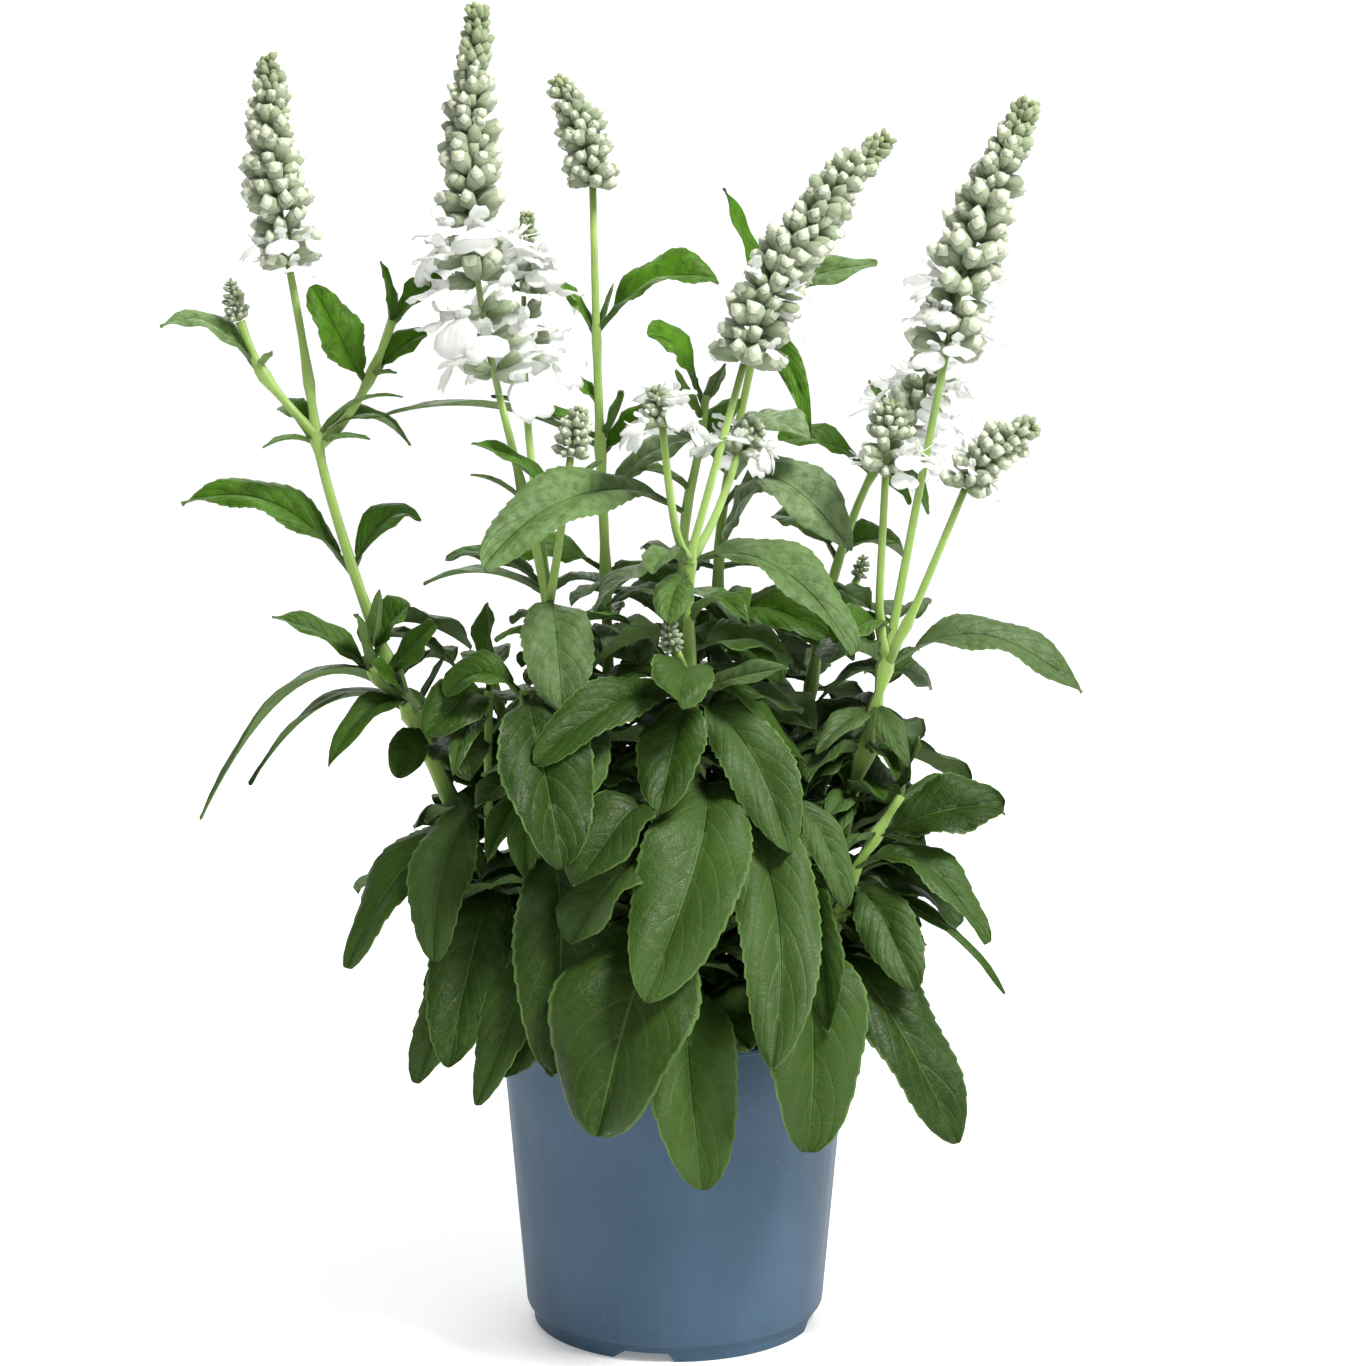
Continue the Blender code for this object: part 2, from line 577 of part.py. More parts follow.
def grow():
    """Lay out the whole plant: stems and spikes first, shown leaves next, rule leaves last."""
    thicket = Thicket()
    plant = Plant([], {stem.name: [] for stem in STEMS}, [])
    for stem in STEMS:
        for index, axis in enumerate(stem.axes):
            course = axis_course(axis, index == 0)
            first = STEM_RADIUS if index == 0 else BRANCH_RADIUS
            radii = radii_along(course, first, TIP_RADIUS)
            plant.axes.append((stem, axis, course, radii))
            thicket.add(stem.name, rod_solid(course, [radius + CLEAR for radius in radii]))
            if axis.spike:
                direction = (course[-1] - course[-2]).normalized()
                line = spike_course(course[-1], direction, axis.spike)
                widths = [2.0, 0.95 * axis.spike.radius, 0.85 * axis.spike.radius,
                          0.65 * axis.spike.radius, 1.5]
                thicket.add(axis.spike.name, rod_solid(line, widths, 8))
    for wall in (pot_wall_probe(), soil_probe()):
        thicket.add("pot", wall)
    place_shown_leaves(plant, thicket)
    place_rule_leaves(plant, thicket)
    return plant


def pot_wall_probe():
    """The pot's outside with its margin, as a rod of the pot's own radii."""
    levels = (0.0, POT_HEIGHT, POT_HEIGHT + 0.5)
    course = [Vector((0.0, 0.0, level)) for level in levels]
    return rod_solid(course, (POT_STEP_RADIUS, POT_RIM_RADIUS + 1.0, POT_RIM_RADIUS - 3.0), 48)


def soil_probe():
    """The soil's surface with its margin."""
    course = [Vector((0.0, 0.0, SOIL_TOP - 1.0)), Vector((0.0, 0.0, SOIL_TOP + 1.5)),
              Vector((0.0, 0.0, SOIL_TOP + 2.0))]
    return rod_solid(course, (POT_RIM_RADIUS, POT_RIM_RADIUS - 2.0, 0.5), 48)


def settle(plant, thicket, stem, foot, offers):
    """Stand the first blade of the offered ones that has room, and say whether one had."""
    for leaf in offers:
        blade = Blade(foot, leaf)
        if thicket.fits(stem.name, blade):
            plant.blades[stem.name].append(blade)
            thicket.add(stem.name, blade_solid(blade, 0.0))
            return True
    return False


def place_shown_leaves(plant, thicket):
    """Place the leaves that the front view shows, bending them in depth where they would cross."""
    for stem, axis, course, _ in plant.axes:
        for leaf in axis.leaves:
            if not settle(plant, thicket, stem, at_height(course, leaf.height), bent_in_depth(leaf)):
                plant.left_out.append((stem.name, leaf))


def place_rule_leaves(plant, thicket):
    """Fill each main axis with crossed pairs of leaves that shorten upwards."""
    dice = random.Random(LAYOUT_SEED)
    mains = [(stem, course) for stem, axis, course, _ in plant.axes if axis is stem.axes[0] and stem.fill]
    for stem, course in mains:
        low, high, pitch, first, last = stem.fill
        pairs = int((high - low) / pitch) + 1
        start = dice.uniform(0.0, math.pi)
        for pair in range(pairs):
            height = low + pitch * pair
            length = first + (last - first) * pair / max(pairs - 1, 1)
            for half in range(2):
                turn = start + math.pi * (0.5 * pair + half) + dice.uniform(-0.25, 0.25)
                lift = dice.uniform(-0.60, 0.10)
                roll = dice.uniform(-18.0, 18.0)
                foot = at_height(course, height)
                settle(plant, thicket, stem, foot, turned_about(foot, height, turn, length, lift, roll))


def material(name, color, roughness):
    """A Principled material of one colour."""
    made = bpy.data.materials.new(name)
    made.use_nodes = True
    shader = made.node_tree.nodes["Principled BSDF"]
    shader.inputs["Base Color"].default_value = (*color, 1.0)
    shader.inputs["Roughness"].default_value = roughness
    shader.inputs["Metallic"].default_value = 0.0
    made.diffuse_color = (*color, 1.0)
    return made


def collection(name):
    """A new collection in the scene."""
    made = bpy.data.collections.new(name)
    bpy.context.scene.collection.children.link(made)
    return made


def put(name, mesh, home):
    """An object of a mesh in a collection."""
    made = bpy.data.objects.new(name, mesh)
    home.objects.link(made)
    return made


def mesh_of(solid, name):
    """A mesh of a bmesh, which is freed."""
    mesh = bpy.data.meshes.new(name)
    solid.to_mesh(mesh)
    solid.free()
    return mesh


def apply_modifiers(thing):
    """Give an object its evaluated mesh and drop its modifiers."""
    graph = bpy.context.evaluated_depsgraph_get()
    mesh = bpy.data.meshes.new_from_object(thing.evaluated_get(graph))
    thing.modifiers.clear()
    thing.data = mesh


def join(thing, pieces, home, solver="EXACT"):
    """Union an object with loose pieces into one body and remove the pieces."""
    if pieces:
        union = thing.modifiers.new("union", "BOOLEAN")
        union.operation = "UNION"
        union.operand_type = "COLLECTION"
        union.collection = home
        union.solver = solver
        apply_modifiers(thing)
    for piece in pieces:
        bpy.data.objects.remove(piece)
    flat = bmesh.new()
    flat.from_mesh(thing.data)
    bmesh.ops.dissolve_limit(flat, angle_limit=FLAT_ANGLE, verts=flat.verts[:], edges=flat.edges[:])
    bmesh.ops.triangulate(flat, faces=flat.faces[:])
    flat.to_mesh(thing.data)
    flat.free()


def cut(thing, cutters, home):
    """Cut an object with a collection of cutters and remove them."""
    for cutter in cutters:
        cutter.hide_render = True
        cutter.display_type = "WIRE"
    trim = thing.modifiers.new("cut", "BOOLEAN")
    trim.operation = "DIFFERENCE"
    trim.operand_type = "COLLECTION"
    trim.collection = home
    apply_modifiers(thing)
    for cutter in cutters:
        bpy.data.objects.remove(cutter)


def turned(name, profile, home):
    """A turned body from a profile of (radius, height) that runs down its outer side."""
    mesh = bpy.data.meshes.new(name)
    points = [(radius * MM, 0.0, height * MM) for radius, height in profile]
    mesh.from_pydata(points, [(i, i + 1) for i in range(len(points) - 1)], [])
    made = put(name, mesh, home)
    screw = made.modifiers.new("turn", "SCREW")
    screw.steps = POT_SIDES
    screw.render_steps = POT_SIDES
    screw.use_merge_vertices = True
    screw.merge_threshold = 0.00001
    screw.use_normal_calculate = True
    apply_modifiers(made)
    return made


def rod(name, course, radii, home):
    """A tapered rod: a bevelled curve with closed ends, made a mesh."""
    curve = bpy.data.curves.new(name, "CURVE")
    curve.dimensions = "3D"
    curve.bevel_depth = MM
    curve.bevel_resolution = 0
    curve.use_fill_caps = True
    spline = curve.splines.new("POLY")
    spline.points.add(len(course) - 1)
    for point, place, radius in zip(spline.points, course, radii):
        point.co = (*(place * MM), 1.0)
        point.radius = radius
    line = put(name + "_line", curve, home)
    graph = bpy.context.evaluated_depsgraph_get()
    mesh = bpy.data.meshes.new_from_object(line.evaluated_get(graph))
    bpy.data.objects.remove(line)
    welded = bmesh.new()
    welded.from_mesh(mesh)
    bmesh.ops.remove_doubles(welded, verts=welded.verts[:], dist=0.000001)
    bmesh.ops.recalc_face_normals(welded, faces=welded.faces[:])
    welded.to_mesh(mesh)
    welded.free()
    return put(name, mesh, home)


def round_cutter(name, place, radius, depth, sides, home):
    """An upright cylinder whose centre is at a place."""
    solid = bmesh.new()
    bmesh.ops.create_cone(solid, cap_ends=True, segments=sides, radius1=radius * MM, radius2=radius * MM,
                          depth=depth * MM)
    bmesh.ops.translate(solid, verts=solid.verts[:], vec=Vector(place) * MM)
    return put(name, mesh_of(solid, name), home)


def inner_radius(height):
    """Radius of the pot's inner wall at a height above the step."""
    share = (height - POT_STEP_HEIGHT) / (POT_HEIGHT - POT_STEP_HEIGHT)
    outer = POT_STEP_RADIUS + (POT_RIM_RADIUS - POT_LIP * 0.5 - POT_STEP_RADIUS) * share
    return outer - POT_WALL


def build_pot(home, cutters):
    """The pot: thin tapered wall, small lip, inset foot ring and a raised floor with drain holes."""
    floor_top = POT_FLOOR + POT_WALL
    under_lip = POT_HEIGHT - POT_LIP
    foot_inner = POT_FOOT_RADIUS - POT_WALL
    profile = (
        (0.0, floor_top),
        (foot_inner, floor_top),
        (inner_radius(POT_STEP_HEIGHT + POT_WALL), POT_STEP_HEIGHT + POT_WALL),
        (inner_radius(under_lip), under_lip),
        (inner_radius(under_lip) + 0.4, POT_HEIGHT),
        (POT_RIM_RADIUS, POT_HEIGHT),
        (POT_RIM_RADIUS, under_lip),
        (inner_radius(under_lip) + POT_WALL, under_lip - 0.4),
        (POT_STEP_RADIUS, POT_STEP_HEIGHT),
        (POT_FOOT_RADIUS, POT_STEP_HEIGHT - 0.6),
        (POT_FOOT_RADIUS, 0.0),
        (foot_inner, 0.0),
        (foot_inner, POT_FLOOR),
        (POT_PAD_RADIUS, POT_FLOOR),
        (POT_PAD_RADIUS, 0.0),
        (0.0, 0.0))
    pot = turned("pot", profile, home)
    tools = []
    for index in range(4):
        solid = bmesh.new()
        bmesh.ops.create_cube(solid, size=MM)
        bmesh.ops.scale(solid, vec=(NOTCH_WIDTH, 6.0, 2.0 * NOTCH_HEIGHT), verts=solid.verts[:])
        notch = put(f"notch_{index}", mesh_of(solid, "notch"), cutters)
        turn = math.radians(258.0 + 90.0 * index)
        notch.location = Vector((math.cos(turn), math.sin(turn), 0.0)) * (POT_FOOT_RADIUS * MM)
        notch.rotation_euler = (0.0, 0.0, turn + math.pi / 2.0)
        tools.append(notch)
    for index in range(DRAINS):
        turn = 2.0 * math.pi * (index + 0.5) / DRAINS
        place = (DRAIN_CIRCLE * math.cos(turn), DRAIN_CIRCLE * math.sin(turn), POT_FLOOR)
        tools.append(round_cutter(f"drain_{index}", place, DRAIN_RADIUS, 6.0, HOLE_SIDES, cutters))
    bpy.context.view_layer.update()
    cut(pot, tools, cutters)
    pot.data.materials.append(material("blue_plastic", (0.07, 0.13, 0.22), 0.45))
    return pot


def build_soil(home, cutters):
    """The root ball and soil that fill the pot, with a plain hole for each stem."""
    low = POT_FLOOR + POT_WALL + CLEAR
    step = POT_STEP_HEIGHT + POT_WALL + CLEAR
    profile = (
        (0.0, SOIL_TOP),
        (inner_radius(SOIL_TOP) - CLEAR - 1.5, SOIL_TOP),
        (inner_radius(SOIL_TOP) - CLEAR, SOIL_TOP - 1.5),
        (inner_radius(step) - CLEAR, step),
        (POT_FOOT_RADIUS - POT_WALL - CLEAR, low),
        (0.0, low))
    soil = turned("soil", profile, home)
    tools = []
    for stem in STEMS:
        x, y, z = stem.axes[0].path[0]
        place = (x, y, z - CLEAR + 10.0)
        tools.append(round_cutter("hole", place, STEM_RADIUS + 2.0 * CLEAR, 20.0, HOLE_SIDES, cutters))
    cut(soil, tools, cutters)
    soil.data.materials.append(material("potting_soil", (0.035, 0.022, 0.014), 0.95))
    return soil


def build_stem(stem, plant, home, pieces_home, green):
    """One stem with its branches and leaves, joined to one body."""
    pieces = []
    body = None
    for owner, axis, course, radii in plant.axes:
        if owner is not stem:
            continue
        if body is None:
            body = rod(stem.name, course, radii, home)
        else:
            pieces.append(rod("branch", course, radii, pieces_home))
    for blade in plant.blades[stem.name]:
        pieces.append(put("leaf", mesh_of(blade_solid(blade), "leaf"), pieces_home))
    join(body, pieces, pieces_home)
    body.data.materials.clear()
    body.data.materials.append(green)
    return body


def build_spike(axis, course, home, white):
    """A flower spike on the tip of its axis."""
    spike = axis.spike
    direction = (course[-1] - course[-2]).normalized()
    solid = spike_solid(spike_course(course[-1], direction, spike, 8), spike)
    body = put(spike.name, mesh_of(solid, spike.name), home)
    body.data.materials.append(white)
    return body


def main():
    """Build the pot, the soil and the plant."""
    for thing in list(bpy.data.objects):
        bpy.data.objects.remove(thing)
    home = collection("perennial_salvia")
    cutters = collection("cutters")
    pieces_home = collection("pieces")
    build_pot(home, cutters)
    build_soil(home, cutters)
    green = material("leaf_green", (0.09, 0.17, 0.05), 0.6)
    white = material("flower_white", (0.62, 0.66, 0.56), 0.7)
    plant = grow()
    for stem in STEMS:
        build_stem(stem, plant, home, pieces_home, green)
    for _, axis, course, _ in plant.axes:
        if axis.spike:
            build_spike(axis, course, home, white)
    for name, leaf in plant.left_out:
        print("no room for a leaf of", name, leaf.height, leaf.tip)
    print("leaves", sum(len(blades) for blades in plant.blades.values()))


main()
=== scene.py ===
"""The finished look of a flowering perennial salvia in a round plastic nursery pot.

The layout of stems, leaves and spikes repeats the one that the solids were built from, so that each fine
leaf lies where its plain one lies. Lengths in the layout are millimetres and angles are degrees; a mesh
gets its place in metres when its vertices are set.
"""

import logging
import math
import random
from dataclasses import dataclass, field, replace
from enum import Enum
from typing import Callable, Iterator, Optional, Sequence, Union

import bmesh
import bpy
import numpy as np
from mathutils import Matrix, Quaternion, Vector, noise
from mathutils.bvhtree import BVHTree


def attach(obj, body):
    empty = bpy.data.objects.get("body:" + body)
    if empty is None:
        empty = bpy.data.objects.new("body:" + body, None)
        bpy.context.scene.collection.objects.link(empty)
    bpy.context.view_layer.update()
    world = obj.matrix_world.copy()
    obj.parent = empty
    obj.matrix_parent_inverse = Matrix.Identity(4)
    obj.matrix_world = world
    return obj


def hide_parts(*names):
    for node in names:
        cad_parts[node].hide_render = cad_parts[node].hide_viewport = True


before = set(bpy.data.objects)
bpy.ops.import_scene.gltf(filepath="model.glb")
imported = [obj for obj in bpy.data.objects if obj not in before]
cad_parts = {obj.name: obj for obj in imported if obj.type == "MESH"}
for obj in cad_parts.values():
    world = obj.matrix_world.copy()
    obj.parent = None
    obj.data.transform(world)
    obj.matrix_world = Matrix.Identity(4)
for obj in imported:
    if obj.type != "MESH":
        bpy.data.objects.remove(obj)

LOG = logging.getLogger("salvia")
Colour = tuple[float, float, float]
Value = Union[float, Sequence[float], bpy.types.NodeSocket]

MM = 0.001
UP = Vector((0.0, 0.0, 1.0))
ROOT = "root"
WELD = 0.00001

# Lengths in millimetres and shares, the same as in the solids.
CLEAR = 0.3
POT_HEIGHT = 116.0
POT_RIM_RADIUS = 65.0
POT_STEP_RADIUS = 54.5
POT_STEP_HEIGHT = 6.0
POT_WALL = 1.2
POT_LIP = 2.0
SOIL_TOP = 104.0
STEM_DEPTH = 6.0
STEM_FOOT = SOIL_TOP - STEM_DEPTH
STRAIGHT_RUN = 8.0
STEM_RADIUS = 2.2
TIP_RADIUS = 1.1
BRANCH_RADIUS = 1.3
BLADE_THICKNESS = 1.2
STALK_WIDTH = 2.2
PLAIN_FROM = 34.0
PROBE_MARGIN = 0.4
OWN_MARGIN = 0.1
OWN_START = 0.35
PLAIN_FOLD = 0.28
PLAIN_RIPPLE = 0.05
BEND_SHARE = 0.48
SWAY_SHARE = 0.06
LAYOUT_SEED = 12
SPIKE_TAPER = 0.75
TAPER_POWER = 2.4

# Stems and leaves that stand higher are young.
YOUNG_HEIGHT = 330.0

# Places of the finishes in a leafy piece and in a spike, after the one of the stem or the axis.
UPPER_SLOT, UNDER_SLOT = 1, 2
CALYX_SLOT, BUD_SLOT, PETAL_SLOT = 1, 2, 3
MAP = "along"


class Slot(Enum):
    """Material slots of the record."""

    POT = "blue_plastic"
    SOIL = "potting_soil"
    LEAF = "leaf_green"
    FLOWER = "flower_white"


@dataclass(frozen=True)
class Form:
    """Outline of a kind of leaf.

    stalk is the share of the length that is stalk, skew moves the widest place towards the stalk when
    it is under 1, fullness rounds the outline when it is under 1, and cuts are the coarse stations of
    the blade that the crossing tests use, from its stalk (0) to its tip (1).
    """

    stalk: float
    skew: float
    fullness: float
    cuts: tuple[float, ...]


OVATE = Form(0.16, 1.18, 0.54, (0.0, 0.2, 0.5, 0.84, 1.0))
ROUND = Form(0.14, 1.46, 0.46, (0.0, 0.18, 0.44, 0.70, 0.90, 1.0))
PLAIN = Form(0.16, 1.14, 0.56, (0.0, 0.3, 0.76, 1.0))
LANCE = Form(0.10, 0.90, 0.78, (0.0, 0.32, 0.7, 1.0))
SMALL = Form(0.10, 0.92, 0.80, (0.0, 0.5, 1.0))


@dataclass(frozen=True)
class Leaf:
    """A leaf: height on its axis, its tip, blade width, rise over its chord, roll, outline and sway."""

    height: float
    tip: tuple[float, float, float]
    width: float
    rise: float
    roll: float
    form: Form = OVATE
    sway: float = 0.0


@dataclass(frozen=True)
class Spike:
    """A flower spike on the tip of an axis: its top and the radius of its lowest whorl."""

    name: str
    top: tuple[float, float, float]
    radius: float


@dataclass(frozen=True)
class Axis:
    """A stem or side branch: the points that it passes, its leaves and the spike that it carries."""

    path: tuple
    leaves: tuple[Leaf, ...] = ()
    spike: Optional[Spike] = None


@dataclass(frozen=True)
class Stem:
    """One body of the plant: a main axis, its side branches, and the range that rule leaves fill.

    fill is (lowest height, highest height, pitch, leaf length at the bottom, leaf length at the top).
    """

    name: str
    axes: tuple[Axis, ...]
    fill: tuple = ()


LEFT = Stem("stem_left", (
    Axis(((-34, -8, 98), (-60, -10, 150), (-85, -12, 206), (-94, -12, 228), (-110, -8, 263), (-124, -4, 309),
          (-127, -2, 324), (-131, 0, 355), (-136, 0, 385)),
         (Leaf(228, (-168, -25, 190), 13, 30, 10, LANCE), Leaf(226, (-154, 2, 198), 11, 18, -10, LANCE),
          Leaf(229, (-122, -34, 211), 12, 10, -20, LANCE), Leaf(223, (-98, -28, 206), 13, 2, -30),
          Leaf(229, (-106, -28, 246), 11, 2, -50), Leaf(227, (-80, -20, 250), 6, 0, 40, SMALL),
          Leaf(275, (-175, -2, 299), 16, 14, -35, LANCE), Leaf(277, (-91, 8, 294), 12, 9, 30, LANCE),
          Leaf(324, (-95, -14, 339), 5, 6, 0, SMALL), Leaf(323, (-95, 10, 320), 11, 10, 20, LANCE),
          Leaf(327, (-142, 14, 333), 9, 3, -30), Leaf(322, (-145, -12, 321), 5, 3, 0, SMALL),
          Leaf(322, (-107, -12, 324), 5, 2, 0, SMALL)),
         Spike("spike_left", (-142, 3, 457), 13)),
    Axis(((-95, -12, 231), (-101, -14, 235), (-107, -16, 241), (-109, -16, 248)),
         (Leaf(240, (-142, -18, 262), 13, 4, -25, LANCE), Leaf(244, (-93, -18, 266), 16, 4, 40),
          Leaf(247, (-103, -14, 273), 5, 0, 0, SMALL), Leaf(239, (-84, -24, 261), 14, 0, 50),
          Leaf(242, (-111, -26, 265), 12, 0, -50))),
    Axis(((-127, -2, 324), (-138, -3, 337), (-146, -4, 347), (-150, -4, 357), (-153, -4, 365)),
         (Leaf(347, (-181, -6, 363), 12, 9, -25, LANCE), Leaf(349, (-141, -10, 355), 4, 0, 0, SMALL)),
         Spike("spike_left_side", (-156, -4, 380), 5)),
    Axis(((-126, -2, 322), (-117, -2, 329), (-107, 0, 346), (-100, 2, 365)),
         (Leaf(343, (-126, -4, 378), 17, -3, -60), Leaf(346, (-88, 4, 361), 11, 2, 40),
          Leaf(346, (-98, -8, 347), 4, 1, 0, SMALL), Leaf(364, (-82, -4, 381), 12, 0, 50),
          Leaf(364, (-104, 6, 386), 8, 0, 30, LANCE))),
), fill=(128, 170, 40, 60, 52))

CENTRE_LEFT = Stem("stem_centre_left", (
    Axis(((-16, -24, 98), (-28, -28, 140), (-36, -30, 177), (-42, -28, 234), (-44, -25, 269), (-57, -22, 324),
          (-61, -20, 340)),
         (Leaf(269, (-39, -58, 234), 24, 8, 0), Leaf(271, (-89, -18, 273), 9, 7, 0, LANCE),
          Leaf(272, (-82, 4, 280), 12, 7, -20), Leaf(304, (-71, -28, 313), 5, 2, 0, SMALL)),
         Spike("spike_centre_left", (-67, -17, 473), 13)),
    Axis(((-44, -25, 268), (-47, -14, 289), (-52, 1, 324), (-53, 5, 339)), (),
         Spike("spike_centre_left_second", (-52, 9, 403), 10)),
    Axis(((-44, -25, 267), (-41, -27, 283), (-38, -28, 304), (-36, -28, 319)),
         (Leaf(303, (-70, -36, 325), 12, 3, -20, LANCE), Leaf(304, (-25, -20, 317), 5, 2, 0, SMALL)),
         Spike("spike_centre_left_third", (-32, -28, 336), 7)),
), fill=(128, 236, 50, 60, 46))

BACK_TALL = Stem("stem_back_tall", (
    Axis(((-4, 8, 98), (-14, 8, 135), (-21, 8, 169), (-24, 10, 228), (-25, 12, 279), (-27, 12, 326),
          (-28, 12, 361), (-29, 10, 412)),
         (Leaf(361, (16, 6, 379), 17, 9, 35), Leaf(360, (-43, 10, 380), 9, 2, -30, LANCE),
          Leaf(360, (-22, 14, 378), 5, 0, 0, SMALL), Leaf(336, (-37, 16, 346), 6, 0, -20, SMALL),
          Leaf(323, (-66, 12, 338), 9, 2, -30, LANCE), Leaf(322, (-18, 4, 340), 13, 0, 40),
          Leaf(317, (-9, 10, 335), 10, 0, 40), Leaf(320, (-104, 2, 331), 8, 9, 0, LANCE),
          Leaf(300, (6, 22, 321), 13, 6, 30), Leaf(275, (-66, 4, 283), 16, 6, -30),
          Leaf(274, (-2, 18, 260), 16, 6, 20)),
         Spike("spike_back_tall", (-42, 8, 449), 10)),
), fill=(132, 256, 40, 62, 46))

FRONT = Stem("stem_front", (
    Axis(((2, -14, 98), (8, -20, 140), (10, -25, 180), (7, -31, 213), (5, -33, 236), (5, -34, 284),
          (9, -32, 297), (24, -25, 351)),
         (Leaf(283, (-8, -62, 282), 12, 4, 0), Leaf(283, (63, -46, 253), 21, 14, 30),
          Leaf(279, (-2, -52, 264), 13, 2, -20), Leaf(262, (26, -54, 263), 9, 9, 10, LANCE),
          Leaf(237, (-6, -46, 254), 9, 0, -40), Leaf(235, (-4, -72, 202), 22, 6, 0),
          Leaf(235, (-48, -70, 219), 18, 10, -40), Leaf(235, (40, -66, 187), 23, 10, 35),
          Leaf(238, (43, -46, 214), 9, 12, 20, LANCE), Leaf(236, (38, -40, 248), 10, 2, 40),
          Leaf(209, (-11, -84, 143), 36, 14, -10, OVATE, 11),
          Leaf(205, (35, -78, 122), 28, 16, 10, OVATE, 12)),
         Spike("spike_front", (74, -12, 429), 12.5)),
    Axis(((5, -34, 284), (1, -36, 291), (-2, -38, 310), (-4, -38, 330)), (),
         Spike("spike_front_west", (-7, -39, 344), 6)),
    Axis(((5, -34, 282), (13, -28, 295), (20, -20, 312), (22, -18, 319)), (),
         Spike("spike_front_east", (30, -14, 330), 8)),
    Axis(((5, -33, 238), (3, -40, 248), (0, -44, 254)), (),
         Spike("spike_front_low", (-1, -46, 265), 5)),
), fill=(124, 250, 60, 58, 44))

RIGHT = Stem("stem_right", (
    Axis(((34, -8, 98), (47, -12, 135), (58, -14, 177), (69, -14, 219), (75, -14, 244), (85, -12, 299),
          (95, -10, 353)),
         (Leaf(243, (144, -16, 234), 19, 16, 30), Leaf(245, (36, 12, 264), 16, 6, -30),
          Leaf(242, (94, 22, 231), 11, 3, 60, LANCE), Leaf(226, (49, -36, 216), 10, 5, -20, LANCE)),
         Spike("spike_right", (124, -6, 441), 13)),
    Axis(((75, -14, 246), (72, -16, 260), (73, -18, 289), (74, -18, 313)), (),
         Spike("spike_right_west", (76, -18, 338), 9)),
    Axis(((75, -14, 245), (83, -15, 260), (92, -16, 282), (102, -16, 307)), (),
         Spike("spike_right_east", (127, -16, 329), 10)),
), fill=(124, 218, 44, 60, 46))

BACK_RIGHT = Stem("stem_back_right", (
    Axis(((22, 20, 98), (35, 24, 150), (46, 28, 203), (53, 32, 247), (60, 34, 277), (72, 36, 309),
          (85, 38, 324)),
         (Leaf(309, (38, 32, 320), 15, 5, -30), Leaf(310, (86, 30, 297), 10, 4, 20, LANCE),
          Leaf(314, (94, 44, 292), 15, 6, 30), Leaf(319, (72, 58, 341), 10, 0, 40),
          Leaf(277, (86, 52, 275), 15, 7, 30), Leaf(276, (36, 54, 289), 15, 7, -30)),
         Spike("spike_back_right", (92, 40, 353), 14)),
    Axis(((57, 33, 260), (64, 30, 264), (67, 29, 270)), (),
         Spike("spike_back_right_low", (69, 28, 279), 4)),
), fill=(124, 252, 42, 62, 46))

INNER = Stem("shoot_inner", (
    Axis(((8, 2, 98), (7, 2, 145), (6, 2, 192), (3, 0, 258), (3, -4, 295), (9, -6, 320), (11, -6, 339)),
         (Leaf(298, (-66, -46, 286), 22, 15, -35), Leaf(336, (-8, -16, 359), 15, 8, -50),
          Leaf(330, (0, -18, 349), 5, 0, 0, SMALL), Leaf(336, (18, 2, 350), 6, 0, 0, SMALL),
          Leaf(323, (24, 6, 337), 9, 2, 30, LANCE), Leaf(321, (-6, 8, 326), 9, 3, -20),
          Leaf(306, (-12, -18, 314), 8, 2, -20, LANCE))),
), fill=(134, 280, 48, 58, 40))

BACK_CENTRE = Stem("shoot_back_centre", (
    Axis(((14, 14, 98), (16, 14, 145), (17, 14, 190), (15, 14, 257), (17, 14, 300), (25, 20, 336),
          (33, 24, 375)),
         (Leaf(374, (18, 20, 412), 11, 0, -40, LANCE), Leaf(373, (73, 18, 384), 14, 3, 40, LANCE),
          Leaf(355, (49, 10, 324), 9, 12, 60, LANCE), Leaf(298, (61, -8, 283), 22, 18, 35),
          Leaf(283, (30, 0, 309), 18, 0, 60), Leaf(257, (54, -12, 253), 16, 8, 40))),
), fill=(126, 340, 50, 62, 40))

LOW_RIGHT = Stem("shoot_low_right", (
    Axis(((42, -16, 98), (52, -21, 132), (59, -26, 160), (64, -32, 175), (73, -26, 188), (80, -24, 199)),
         (Leaf(198, (86, -26, 221), 15, 0, 40), Leaf(197, (118, -14, 190), 9, 9, 0, LANCE),
          Leaf(184, (116, -26, 197), 23, 4, 45), Leaf(175, (108, -50, 151), 17, 14, 20),
          Leaf(167, (81, -56, 135), 19, 8, 40), Leaf(160, (118, -28, 128), 11, 12, 10, LANCE),
          Leaf(142, (98, -62, 83), 29, 17, 18))),
))

FRONT_RIGHT = Stem("shoot_front_right", (
    Axis(((24, -32, 98), (30, -38, 122), (35, -44, 144), (38, -50, 181), (40, -52, 206)),
         (Leaf(204, (60, -62, 167), 13, 6, 40), Leaf(185, (52, -70, 125), 19, 10, 75),
          Leaf(148, (49, -90, 85), 36, 24, 5, ROUND))),
))

FRONT_SHOOT = Stem("shoot_front", (
    Axis(((0, -38, 98), (-1, -44, 120), (-1, -50, 138), (-5, -58, 176), (-7, -60, 204)),
         (Leaf(203, (-31, -84, 178), 25, 9, -14), Leaf(183, (-35, -86, 157), 28, 9, -14),
          Leaf(152, (-26, -96, 96), 50, 24, -5, ROUND), Leaf(131, (6, -92, 76), 31, 22, 0, ROUND))),
))

